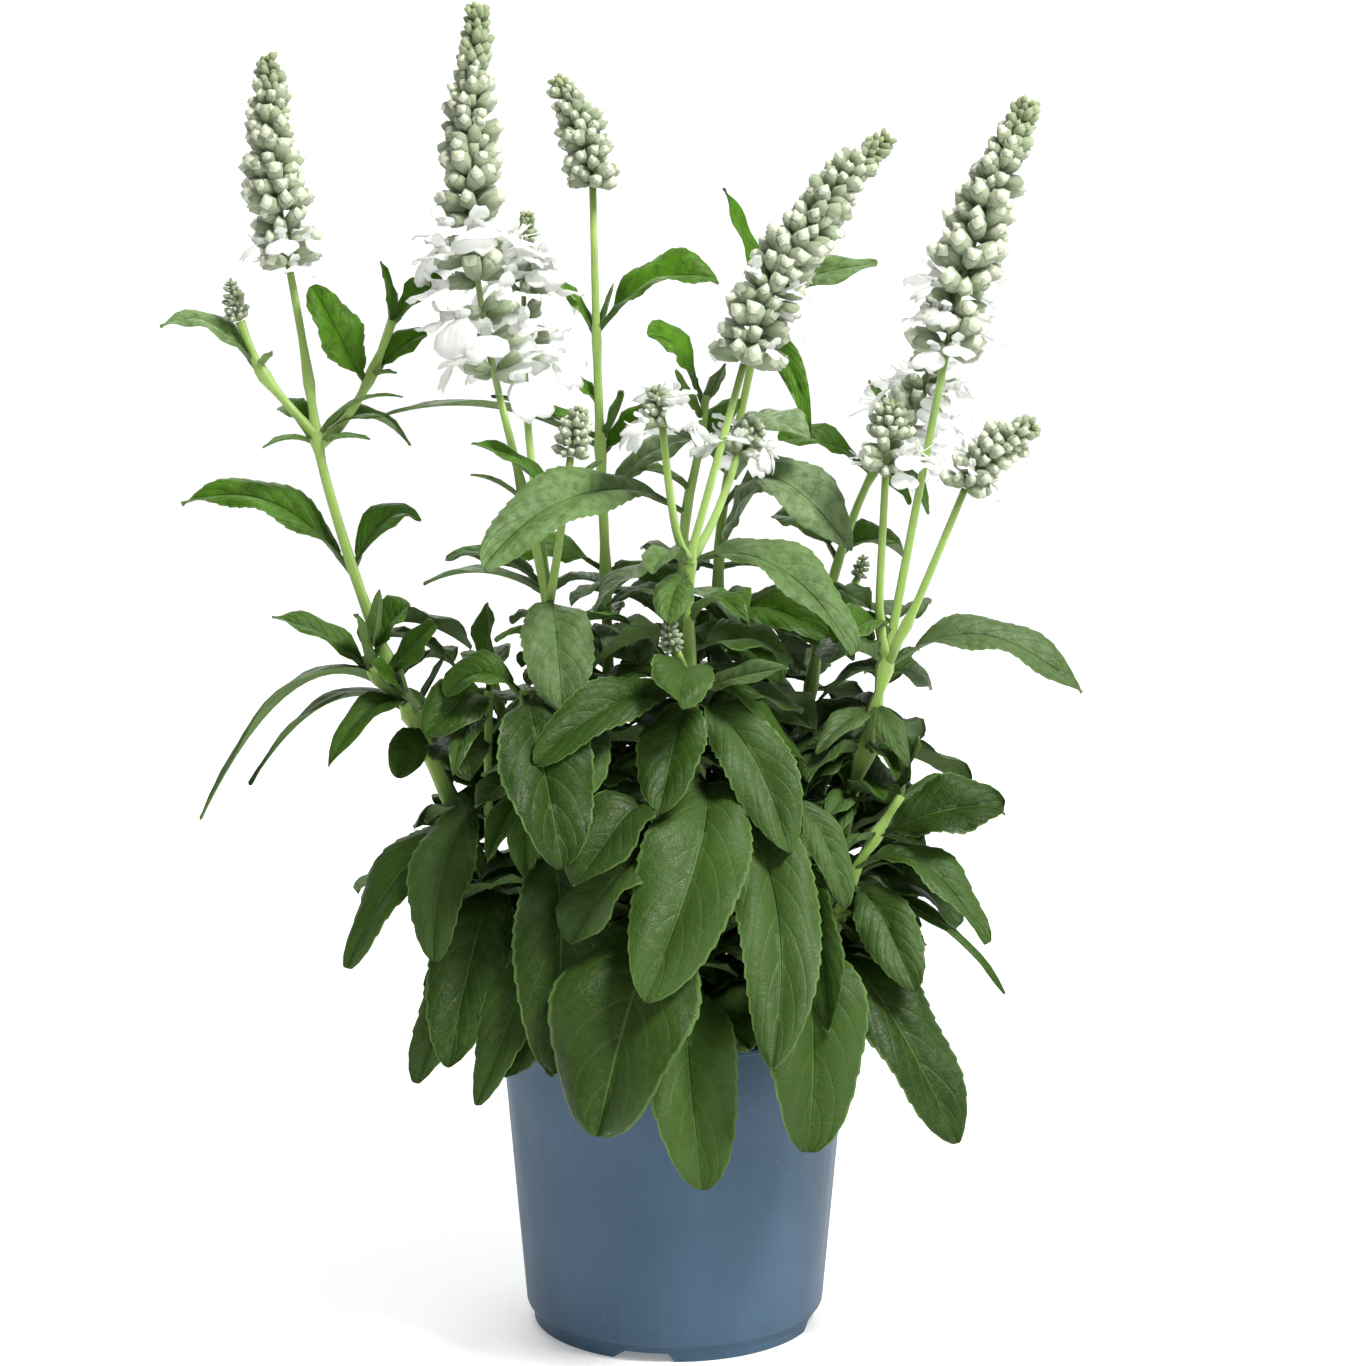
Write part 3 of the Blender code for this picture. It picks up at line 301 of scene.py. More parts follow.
FRONT_LEFT = Stem("shoot_front_left", (
    Axis(((-22, -34, 98), (-31, -40, 122), (-39, -44, 144), (-48, -50, 195), (-52, -46, 240)),
         (Leaf(239, (-37, -86, 185), 31, 10, 5), Leaf(237, (-79, -46, 238), 14, 9, -40),
          Leaf(184, (-41, -86, 112), 32, 20, 0, ROUND), Leaf(206, (-64, -70, 186), 10, 5, -10),
          Leaf(152, (-66, -76, 99), 20, 18, -20), Leaf(136, (-44, -84, 110), 14, 14, 0),
          Leaf(213, (-51, -72, 174), 12, 5, 10))),
))

LOW_LEFT = Stem("shoot_low_left", (
    Axis(((-40, -14, 98), (-52, -19, 126), (-62, -24, 150), (-66, -30, 191), (-65, -28, 237)),
         (Leaf(234, (-84, -50, 224), 19, 7, -40), Leaf(228, (-76, -58, 212), 8, 5, -20, LANCE),
          Leaf(198, (-86, -58, 147), 21, 10, -20), Leaf(180, (-115, -40, 140), 20, 20, -35),
          Leaf(165, (-78, -68, 112), 27, 16, -15), Leaf(146, (-88, -58, 103), 20, 18, -10),
          Leaf(236, (-66, -18, 267), 13, 2, -60))),
))

SHOWN_STEMS = (LEFT, CENTRE_LEFT, BACK_TALL, FRONT, RIGHT, BACK_RIGHT, INNER, BACK_CENTRE, LOW_RIGHT,
               FRONT_RIGHT, FRONT_SHOOT, FRONT_LEFT, LOW_LEFT)

REAR_SHOOTS = 8
REAR_FROM = -6.0
REAR_TO = 178.0
REAR_FOOT_CIRCLE = 42.0
REAR_HEAD_CIRCLE = 66.0
REAR_HEIGHTS = (200.0, 226.0, 212.0, 240.0)


def rear_shoots() -> tuple[Stem, ...]:
    """Short leafy shoots in an arc along the sides and the back of the pot."""
    shoots = []
    for index in range(REAR_SHOOTS):
        turn = math.radians(REAR_FROM + (REAR_TO - REAR_FROM) * index / (REAR_SHOOTS - 1))
        out = Vector((math.cos(turn), math.sin(turn), 0.0))
        top = REAR_HEIGHTS[index % len(REAR_HEIGHTS)]
        reach = REAR_HEAD_CIRCLE - REAR_FOOT_CIRCLE
        path = tuple(
            tuple(out * (REAR_FOOT_CIRCLE + reach * share ** 1.4)
                  + UP * (STEM_FOOT + (top - STEM_FOOT) * share))
            for share in (0.0, 0.25, 0.5, 0.75, 1.0))
        shoots.append(Stem(f"shoot_rear_{index + 1}", (Axis(path),), fill=(118, top - 4.0, 31, 66, 38)))
    return tuple(shoots)


STEMS = SHOWN_STEMS + rear_shoots()


def axis_course(axis: Axis, rooted: bool) -> list[Vector]:
    """The centre line of an axis, upright where it leaves the soil.

    Args:
        axis: The stem or side branch.
        rooted: Whether it stands in the soil.

    Returns:
        The points of the line.
    """
    course = [Vector(point) for point in axis.path]
    if rooted:
        foot = course[0]
        straight = foot + UP * (STEM_DEPTH + STRAIGHT_RUN)
        course = [foot, straight] + [point for point in course if point.z > straight.z + STRAIGHT_RUN]
    return course


def at_height(course: Sequence[Vector], height: float) -> Vector:
    """The place where a course passes a height.

    Args:
        course: The centre line of an axis.
        height: The height to find.

    Returns:
        The place on the course.
    """
    for start, end in zip(course, course[1:]):
        if start.z <= height <= end.z:
            return start.lerp(end, (height - start.z) / max(end.z - start.z, 1e-6))
    return course[-1] if height > course[-1].z else course[0]


def rounded(course: Sequence[Vector], rounds: int = 2) -> list[Vector]:
    """A course whose corners are cut round by round, which keeps it close to its own straight runs.

    Args:
        course: The centre line of an axis.
        rounds: How many times its corners are cut.

    Returns:
        The points of the rounded course.
    """
    line = list(course)
    for _ in range(rounds):
        middle = [part for start, end in zip(line, line[1:])
                  for part in (start.lerp(end, 0.25), start.lerp(end, 0.75))]
        line = [line[0]] + middle[1:-1] + [line[-1]]
    return line


@dataclass(frozen=True)
class Blade:
    """The bent surface of one leaf, from its stalk's foot on the stem to its tip."""

    foot: Vector
    leaf: Leaf

    def bend(self) -> Vector:
        """The control point that lifts the middle of the centre line and pushes it to one side."""
        tip = Vector(self.leaf.tip)
        chord = tip - self.foot
        sway = self.leaf.sway + SWAY_SHARE * chord.length * math.sin(tip.x + tip.z)
        push = UP * self.leaf.rise + UP.cross(chord).normalized() * sway
        return self.foot.lerp(tip, BEND_SHARE) + 2.0 * push

    def centre(self, share: float) -> Vector:
        """A point of the centre line, at a share of it from the foot (0) to the tip (1)."""
        left = 1.0 - share
        return (self.foot * left ** 2 + self.bend() * (2.0 * left * share)
                + Vector(self.leaf.tip) * share ** 2)

    def frame(self, share: float) -> tuple[Vector, Vector]:
        """Side and upward directions of the blade; the stalk keeps those of its end.

        Args:
            share: Place along the centre line.

        Returns:
            The direction across the blade and the one out of its upper face.
        """
        share = max(share, self.leaf.form.stalk)
        tip = Vector(self.leaf.tip)
        bend = self.bend()
        along = ((bend - self.foot) * (1.0 - share) + (tip - bend) * share).normalized()
        level = tip - self.foot
        level.z = 0.0
        side = UP.cross(level).normalized() if level.length > 1e-3 else Vector((0.0, 1.0, 0.0))
        side = (side - along * side.dot(along)).normalized()
        turn = Quaternion(along, math.radians(self.leaf.roll) * min(1.0, share / 0.3))
        side = turn @ side
        return side, along.cross(side)

    def half_width(self, share: float) -> float:
        """Half the width of the stalk or the blade at a share of the centre line."""
        stalk = self.leaf.form.stalk
        narrow = 0.5 * min(STALK_WIDTH, 0.4 * self.leaf.width)
        if share <= stalk:
            return narrow
        run = (share - stalk) / (1.0 - stalk)
        full = math.sin(math.pi * min(run, 1.0) ** self.leaf.form.skew)
        return narrow * (1.0 - run) + 0.5 * self.leaf.width * max(full, 0.0) ** self.leaf.form.fullness

    def wave(self, share: float, across: float) -> float:
        """Height of the waves that run along the edges, from -1 to 1; they start behind the stalk."""
        return math.sin(15.0 * share + (0.7 * self.foot.z + 2.1 * across)) * min(1.0, 3.0 * share)

    def surface(self, share: float, across: float) -> Vector:
        """A point of the plain blade's middle surface.

        Args:
            share: Place along the centre line.
            across: From -1 (left edge) to 1 (right edge).

        Returns:
            The point.
        """
        side, normal = self.frame(share)
        half = self.half_width(share)
        lift = (PLAIN_FOLD * half + PLAIN_RIPPLE * self.leaf.width * self.wave(share, across)) * abs(across)
        return self.centre(share) + side * (half * across) + normal * lift

    def length(self) -> float:
        """Distance from the foot to the tip."""
        return (Vector(self.leaf.tip) - self.foot).length


def clamped(value: float) -> float:
    """A value held between 0 and 1."""
    return min(1.0, max(0.0, value))


def scaled(solid: bmesh.types.BMesh, factor: float) -> None:
    """Scale a body about the origin."""
    bmesh.ops.scale(solid, vec=(factor,) * 3, verts=solid.verts[:])


def wrap(columns: int, rows: int, place: Callable[[int, int], Vector],
         mapped: Optional[Callable[[int, int], tuple[float, float]]] = None,
         slot_of: Optional[Callable[[list[int]], int]] = None, alike: bool = False) -> bmesh.types.BMesh:
    """A closed body from a grid of columns along it and rows round it.

    Args:
        columns: Number of faces along the body.
        rows: Number of faces round it.
        place: Gives the point of a column and a row, in millimetres.
        mapped: Gives the place of a column and a row on the body's map.
        slot_of: Gives the slot of a face of a mapped body from the rows of its corners.
        alike: Splits the quads of the upper and the lower half along the same diagonals.

    Returns:
        The welded body with its ends closed.
    """
    solid = bmesh.new()
    uv = solid.loops.layers.uv.new(MAP) if mapped else None
    bmesh.ops.create_grid(solid, x_segments=columns, y_segments=rows, size=0.5)
    cells = {vert: (round((vert.co.x + 0.5) * columns), round((vert.co.y + 0.5) * rows))
             for vert in solid.verts}
    if alike:
        for face in solid.faces[:]:
            corner = {cells[vert]: vert for vert in face.verts}
            column, row = min(corner)
            rising = row < rows // 2
            if column:
                bmesh.utils.face_split(face, corner[(column, row if rising else row + 1)],
                                       corner[(column + 1, row + 1 if rising else row)])
    if mapped:
        for face in solid.faces:
            if slot_of:
                face.material_index = slot_of([cells[vert][1] for vert in face.verts])
            for loop in face.loops:
                loop[uv].uv = mapped(*cells[loop.vert])
    for vert, (column, row) in cells.items():
        vert.co = place(column, row % rows) * MM
    bmesh.ops.remove_doubles(solid, verts=solid.verts[:], dist=WELD)
    bmesh.ops.holes_fill(solid, edges=[edge for edge in solid.edges if edge.is_boundary], sides=rows)
    bmesh.ops.recalc_face_normals(solid, faces=solid.faces[:])
    return solid


def blade_solid(blade: Blade, margin: float = 0.0, start: float = 0.0) -> bmesh.types.BMesh:
    """The plain blade that the crossing tests use, the same as in the solids.

    Args:
        blade: The blade to stand for.
        margin: Widens and thickens it on all sides.
        start: Leaves out its first share.

    Returns:
        A closed blade of lens section.
    """
    form = blade.leaf.form
    stations = [form.stalk + cut * (1.0 - form.stalk) for cut in form.cuts]
    stations = [start] + [share for share in stations if share > start]
    around = ((-1.0, 0.0), (0.0, 1.0), (1.0, 0.0), (0.0, -1.0))

    def place(column: int, row: int) -> Vector:
        """The point of a station and a corner of the lens."""
        share = stations[column]
        if share >= 1.0:
            return blade.centre(1.0)
        across, above = around[row]
        side, normal = blade.frame(share)
        out = side * (across * margin) + normal * (above * (0.5 * BLADE_THICKNESS + margin))
        return blade.surface(share, across) + out

    return wrap(len(stations) - 1, len(around), place, alike=True)


def rod_solid(course: Sequence[Vector], radii: Sequence[float], sides: int = 6) -> bmesh.types.BMesh:
    """A round tapered rod along a course, used to find what crosses it.

    Args:
        course: The centre line.
        radii: Radius at each of its points.
        sides: Number of faces round it.

    Returns:
        The closed rod.
    """
    def place(column: int, row: int) -> Vector:
        """The point of a station and a corner."""
        ahead = course[min(column + 1, len(course) - 1)] - course[max(column - 1, 0)]
        turn = Quaternion(ahead.normalized(), 2.0 * math.pi * row / sides)
        return course[column] + turn @ ahead.orthogonal().normalized() * radii[column]

    return wrap(len(course) - 1, sides, place)


class Thicket:
    """The solids that stand already, by the body that they belong to."""

    def __init__(self) -> None:
        """Start with nothing standing."""
        self.owners: list[str] = []
        self.trees: list[BVHTree] = []
        self.lows = np.empty((4096, 3))
        self.highs = np.empty((4096, 3))

    @staticmethod
    def tree_of(solid: bmesh.types.BMesh) -> tuple[BVHTree, np.ndarray, np.ndarray]:
        """The search tree of a body and the corners of the box round it; the body is freed."""
        tree = BVHTree.FromBMesh(solid)
        places = np.array([vert.co[:] for vert in solid.verts])
        solid.free()
        return tree, places.min(axis=0), places.max(axis=0)

    def add(self, owner: str, solid: bmesh.types.BMesh) -> None:
        """Let a solid stand for the body that is named."""
        index = len(self.owners)
        tree, self.lows[index], self.highs[index] = self.tree_of(solid)
        self.owners.append(owner)
        self.trees.append(tree)

    def crossed(self, owner: str, solid: bmesh.types.BMesh, same_body: bool) -> bool:
        """Whether a solid meets one that stands.

        Args:
            owner: The body that the solid belongs to.
            solid: The solid to test, which is freed.
            same_body: Test against its own body, or else against all others.

        Returns:
            True where it meets one.
        """
        tree, low, high = self.tree_of(solid)
        count = len(self.owners)
        near = np.flatnonzero(np.all(low <= self.highs[:count], axis=1)
                              & np.all(high >= self.lows[:count], axis=1))
        return any((self.owners[index] == owner) == same_body and self.trees[index].overlap(tree)
                   for index in near)

    def fits(self, owner: str, blade: Blade) -> bool:
        """Whether a blade clears all other bodies, and its outer part its own body too."""
        if self.crossed(owner, blade_solid(blade, PROBE_MARGIN), False):
            return False
        return not self.crossed(owner, blade_solid(blade, OWN_MARGIN, OWN_START), True)


BEND_STEPS = (0, 4, -4, 8, -8, 12, -12, 17, -17, 22, -22, 28, -28, 34)
LIFTS = ((0, 0), (3, 0), (-3, 0), (0, 14), (0, -14), (6, 10), (-5, -10), (9, 0), (3, 26), (3, -26))
TURNS = (0, 12, -12, 24, -24, 38, -38, 52, -52, 68, -68)
SHRINKS = ((1.0, 0.0), (1.0, 0.18), (0.88, -0.12), (0.76, 0.1), (0.64, 0.3), (0.55, -0.2))


def bent_in_depth(leaf: Leaf) -> Iterator[Leaf]:
    """A placed leaf, then ever stronger bends of it towards and away from the viewer."""
    for lift, roll in LIFTS:
        for step in BEND_STEPS:
            x, y, z = leaf.tip
            yield replace(leaf, tip=(x, y + step, z), rise=leaf.rise + lift, roll=leaf.roll + roll)


def rule_leaf(foot: Vector, height: float, turn: float, length: float, lift: float, roll: float) -> Leaf:
    """A leaf that leaves its stem in a direction, rises and droops to its tip.

    Args:
        foot: Where it leaves the stem.
        height: Height of the foot on the stem.
        turn: Direction in plan, in radians.
        length: Its length.
        lift: Height of the tip over the foot as a share of the length.
        roll: Turn about its own length.

    Returns:
        The leaf.
    """
    out = Vector((math.cos(turn), math.sin(turn), 0.0))
    tip = foot + out * (0.9 * length) + UP * (length * lift)
    form = PLAIN if length > PLAIN_FROM else LANCE
    width = length * (0.48 if form is PLAIN else 0.36)
    return Leaf(height, tuple(tip), width, 0.14 * length, roll, form)


def turned_about(foot: Vector, height: float, turn: float, length: float, lift: float,
                 roll: float) -> Iterator[Leaf]:
    """A rule leaf, then ones that point elsewhere, or are shorter, until one finds room."""
    for shrink, more_lift in SHRINKS:
        for degrees in TURNS:
            yield rule_leaf(foot, height, turn + math.radians(degrees), length * shrink,
                            lift + more_lift, roll)


def spike_course(axis_end: Vector, direction: Vector, spike: Spike, steps: int = 4) -> list[Vector]:
    """Centre line of a spike: it leaves the stem's tip along the stem and leans to its top.

    Args:
        axis_end: Tip of the stem.
        direction: Direction of the stem there.
        spike: The spike.
        steps: Number of spans.

    Returns:
        The points of the line.
    """
    foot = axis_end + direction * CLEAR
    top = Vector(spike.top)
    bend = foot + direction * (0.5 * (top - foot).length)
    return [foot * (1 - s) ** 2 + bend * (2 * s * (1 - s)) + top * s ** 2
            for s in [step / steps for step in range(steps + 1)]]


@dataclass(frozen=True)
class Grown:
    """An axis with its centre line and its radius at each point of that line."""

    stem: Stem
    axis: Axis
    course: list[Vector]
    radii: list[float]

    def direction(self) -> Vector:
        """Direction of the axis at its tip."""
        return (self.course[-1] - self.course[-2]).normalized()

    def is_main(self) -> bool:
        """Whether it is the main axis of its stem."""
        return self.axis is self.stem.axes[0]


@dataclass
class Undergrowth:
    """Fine leaves between those of the solids, which fill the bush as densely as the real one.

    low and high bound the feet of the leaves, pitch is the distance between their whorls of three,
    longest and shortest are their lengths at low and at high, and front and reach bound their tips.
    """

    seed: int = 23
    low: float = 120.0
    high: float = 266.0
    pitch: float = 15.0
    longest: float = 56.0
    shortest: float = 34.0
    front: float = -44.0
    reach: float = 92.0
    turns: tuple = (0, 25, -25, 50, -50, 80, -80)
    shrinks: tuple = (1.0, 0.8, 0.62)

    def offers(self, foot: Vector, turn: float, length: float, lift: float, roll: float) -> Iterator[Leaf]:
        """Leaves to try at a foot, which stay behind the front leaves and inside the bush."""
        for shrink in self.shrinks:
            for degrees in self.turns:
                leaf = rule_leaf(foot, foot.z, turn + math.radians(degrees), length * shrink, lift, roll)
                x, y, z = leaf.tip
                if y > self.front and math.hypot(x, y) < self.reach and z > SOIL_TOP - 8.0:
                    yield leaf

    def grow(self, layout: "Layout") -> int:
        """Add the leaves to a layout.

        Args:
            layout: The plant with all the leaves of the solids.

        Returns:
            How many were added.
        """
        dice = random.Random(self.seed)
        added = 0
        for grown in layout.axes:
            if not grown.is_main():
                continue
            top = min(self.high, grown.course[-1].z - 4.0)
            height = self.low + dice.uniform(0.0, self.pitch)
            while height < top:
                share = (height - self.low) / (self.high - self.low)
                length = self.longest + (self.shortest - self.longest) * share
                start = dice.uniform(0.0, 2.0 * math.pi)
                for third in range(3):
                    turn = start + 2.0 * math.pi * third / 3.0 + dice.uniform(-0.3, 0.3)
                    lift = dice.uniform(-0.70, 0.12)
                    foot = at_height(grown.course, height + 2.0 * third)
                    offers = self.offers(foot, turn, length * dice.uniform(0.85, 1.15), lift,
                                         dice.uniform(-22.0, 22.0))
                    added += layout.settle(grown.stem, foot, offers)
                height += self.pitch
        return added


class Layout:
    """The whole plant: stems and spikes first, shown leaves next, rule leaves last."""

    def __init__(self) -> None:
        """Lay out the plant as the solids were laid out."""
        self.thicket = Thicket()
        self.axes: list[Grown] = []
        self.blades: dict[str, list[Blade]] = {stem.name: [] for stem in STEMS}
        for stem in STEMS:
            for index, axis in enumerate(stem.axes):
                self.stand(stem, axis, index == 0)
        for probe in (self.pot_probe(), self.soil_probe()):
            self.thicket.add("pot", probe)
        self.place_shown_leaves()
        self.place_rule_leaves()

    def stand(self, stem: Stem, axis: Axis, rooted: bool) -> None:
        """Stand an axis and its spike."""
        course = axis_course(axis, rooted)
        first = STEM_RADIUS if rooted else BRANCH_RADIUS
        radii = [first + (TIP_RADIUS - first) * index / (len(course) - 1) for index in range(len(course))]
        grown = Grown(stem, axis, course, radii)
        self.axes.append(grown)
        self.thicket.add(stem.name, rod_solid(course, [radius + CLEAR for radius in radii]))
        if axis.spike:
            radius = axis.spike.radius
            widths = [2.0, 0.95 * radius, 0.85 * radius, 0.65 * radius, 1.5]
            line = spike_course(course[-1], grown.direction(), axis.spike)
            self.thicket.add(axis.spike.name, rod_solid(line, widths, 8))

    @staticmethod
    def pot_probe() -> bmesh.types.BMesh:
        """The pot's outside with its margin."""
        course = [Vector((0.0, 0.0, level)) for level in (0.0, POT_HEIGHT, POT_HEIGHT + 0.5)]
        return rod_solid(course, (POT_STEP_RADIUS, POT_RIM_RADIUS + 1.0, POT_RIM_RADIUS - 3.0), 48)

    @staticmethod
    def soil_probe() -> bmesh.types.BMesh:
        """The soil's surface with its margin."""
        course = [Vector((0.0, 0.0, SOIL_TOP + level)) for level in (-1.0, 1.5, 2.0)]
        return rod_solid(course, (POT_RIM_RADIUS, POT_RIM_RADIUS - 2.0, 0.5), 48)

    def settle(self, stem: Stem, foot: Vector, offers: Iterator[Leaf]) -> bool:
        """Stand the first blade of the offered ones that has room.

        Args:
            stem: The stem that carries it.
            foot: Where it leaves the stem.
            offers: The leaves to try in turn.

        Returns:
            Whether one had room.
        """
        for leaf in offers:
            blade = Blade(foot, leaf)
            if self.thicket.fits(stem.name, blade):
                self.blades[stem.name].append(blade)
                self.thicket.add(stem.name, blade_solid(blade))
                return True
        return False

    def place_shown_leaves(self) -> None:
        """Place the leaves that the front view shows, bending them in depth where they would cross."""
        for grown in self.axes:
            for leaf in grown.axis.leaves:
                self.settle(grown.stem, at_height(grown.course, leaf.height), bent_in_depth(leaf))

    def place_rule_leaves(self) -> None:
        """Fill each main axis with crossed pairs of leaves that shorten upwards."""
        dice = random.Random(LAYOUT_SEED)
        for grown in self.axes:
            stem, course = grown.stem, grown.course
            if not grown.is_main() or not stem.fill:
                continue
            low, high, pitch, first, last = stem.fill
            pairs = int((high - low) / pitch) + 1
            start = dice.uniform(0.0, math.pi)
            for pair in range(pairs):
                height = low + pitch * pair
                length = first + (last - first) * pair / max(pairs - 1, 1)
                for half in range(2):
                    turn = start + math.pi * (0.5 * pair + half) + dice.uniform(-0.25, 0.25)
                    lift = dice.uniform(-0.60, 0.10)
                    roll = dice.uniform(-18.0, 18.0)
                    foot = at_height(course, height)
                    self.settle(stem, foot, turned_about(foot, height, turn, length, lift, roll))


class Shader:
    """The node tree of one finish while it is put together."""

    def __init__(self, name: str) -> None:
        """Start a material with its Principled shader."""
        self.material = bpy.data.materials.new(name)
        self.material.use_nodes = True
        self.tree = self.material.node_tree
        self.surface = self.tree.nodes["Principled BSDF"]
        self.output = self.tree.nodes["Material Output"]
        self.place = self.node("ShaderNodeTexCoord").outputs["Object"]

    def node(self, kind: str, **settings: object) -> bpy.types.Node:
        """Add a node and set its options."""
        made = self.tree.nodes.new(kind)
        for key, value in settings.items():
            setattr(made, key, value)
        return made

    def feed(self, socket: bpy.types.NodeSocket, value: Value) -> None:
        """Link a socket to another, or set its constant."""
        if isinstance(value, bpy.types.NodeSocket):
            self.tree.links.new(value, socket)
        elif isinstance(value, (tuple, list)) and len(value) == 3 and socket.type == "RGBA":
            socket.default_value = (*value, 1.0)
        else:
            socket.default_value = value

    def math(self, operation: str, *values: Value) -> bpy.types.NodeSocket:
        """The outcome of a Math node."""
        made = self.node("ShaderNodeMath", operation=operation)
        for socket, value in zip(made.inputs, values):
            self.feed(socket, value)
        return made.outputs[0]

    def span(self, value: Value, low: float, high: float, start: float = 0.0,
             end: float = 1.0) -> bpy.types.NodeSocket:
        """A value eased from one range into another.

        Args:
            value: The value.
            low: Start of its range.
            high: End of its range.
            start: What the start becomes.
            end: What the end becomes.

        Returns:
            The eased value.
        """
        made = self.node("ShaderNodeMapRange", interpolation_type="SMOOTHSTEP")
        for socket, given in zip(made.inputs, (value, low, high, start, end)):
            self.feed(socket, given)
        return made.outputs["Result"]

    def folded(self, value: Value) -> bpy.types.NodeSocket:
        """The distance of a value from the middle of its range, 0 in the middle and 1 at both ends."""
        return self.math("ABSOLUTE", self.math("MULTIPLY_ADD", value, 2.0, -1.0))

    def stripes(self, value: Value, count: int) -> bpy.types.NodeSocket:
        """So many soft stripes from 0 to 1, the first of them at 0."""
        return self.math("COSINE", self.math("MULTIPLY", value, 2.0 * math.pi * count))

    def blend(self, share: Value, first: Value, second: Value, mode: str = "MIX") -> bpy.types.NodeSocket:
        """Two colours blended by a share."""
        made = self.node("ShaderNodeMix", data_type="RGBA", blend_type=mode)
        self.feed(made.inputs[0], share)
        self.feed(made.inputs[6], first)
        self.feed(made.inputs[7], second)
        return made.outputs[2]

    def over(self, colour: Value, other: Value, value: Value, *span: float) -> bpy.types.NodeSocket:
        """A colour that another one covers as a value runs through the span that is given."""
        return self.blend(self.span(value, *span), colour, other)

    def shaded(self, colour: Value, shade: Value) -> bpy.types.NodeSocket:
        """A colour made darker or lighter by a factor."""
        grey = self.node("ShaderNodeCombineColor")
        for socket in grey.inputs:
            self.feed(socket, shade)
        return self.blend(1.0, colour, grey.outputs[0], "MULTIPLY")

    def noise(self, scale: float, detail: float = 3.0, vector: Optional[Value] = None,
              distortion: float = 0.0) -> bpy.types.NodeSocket:
        """Soft noise, as many lumps to a metre as the scale says."""
        made = self.node("ShaderNodeTexNoise")
        self.feed(made.inputs["Vector"], vector or self.place)
        self.feed(made.inputs["Scale"], scale)
        self.feed(made.inputs["Detail"], detail)
        self.feed(made.inputs["Distortion"], distortion)
        return made.outputs["Fac"]

    def cells(self, scale: float) -> bpy.types.NodeSocket:
        """Distance to the edge of the nearest of many cells."""
        made = self.node("ShaderNodeTexVoronoi", feature="DISTANCE_TO_EDGE")
        self.feed(made.inputs["Vector"], self.place)
        self.feed(made.inputs["Scale"], scale)
        return made.outputs["Distance"]

    def attribute(self, name: str) -> bpy.types.NodeSocket:
        """A number that the piece's mesh carries."""
        return self.node("ShaderNodeAttribute", attribute_name=name).outputs["Fac"]

    def parts(self, vector: Value) -> bpy.types.bpy_prop_collection:
        """The X, Y and Z of a vector."""
        made = self.node("ShaderNodeSeparateXYZ")
        self.feed(made.inputs[0], vector)
        return made.outputs

    def map_place(self) -> tuple[bpy.types.NodeSocket, bpy.types.NodeSocket]:
        """The two coordinates of the piece's own map, along a body and across or round it."""
        parts = self.parts(self.node("ShaderNodeUVMap", uv_map=MAP).outputs[0])
        return parts[0], parts[1]

    def bump(self, height: Value, distance: float) -> None:
        """Give the surface a relief of so many metres."""
        made = self.node("ShaderNodeBump")
        self.feed(made.inputs["Height"], height)
        self.feed(made.inputs["Distance"], distance)
        self.feed(made.inputs["Strength"], 1.0)
        self.feed(self.surface.inputs["Normal"], made.outputs[0])

    def shine(self, **sockets: Value) -> None:
        """Set sockets of the Principled shader, named with underscores for spaces."""
        for name, value in sockets.items():
            self.feed(self.surface.inputs[name.replace("_", " ")], value)

    def let_through(self, share: Value, colour: Value) -> None:
        """Let part of the light shine through, as a thin leaf or petal does."""
        through = self.node("ShaderNodeBsdfTranslucent")
        self.feed(through.inputs["Color"], colour)
        mixed = self.node("ShaderNodeMixShader")
        self.feed(mixed.inputs[0], share)
        self.tree.links.new(self.surface.outputs[0], mixed.inputs[1])
        self.tree.links.new(through.outputs[0], mixed.inputs[2])
        self.tree.links.new(mixed.outputs[0], self.output.inputs["Surface"])


@dataclass(frozen=True)
class Finish:
    """The material of a surface."""

    name: str

    def make(self) -> bpy.types.Material:
        """Build the material."""
        shader = Shader(self.name)
        self.paint(shader)
        return shader.material

    def paint(self, shader: Shader) -> None:
        """Put its nodes together."""
        raise NotImplementedError


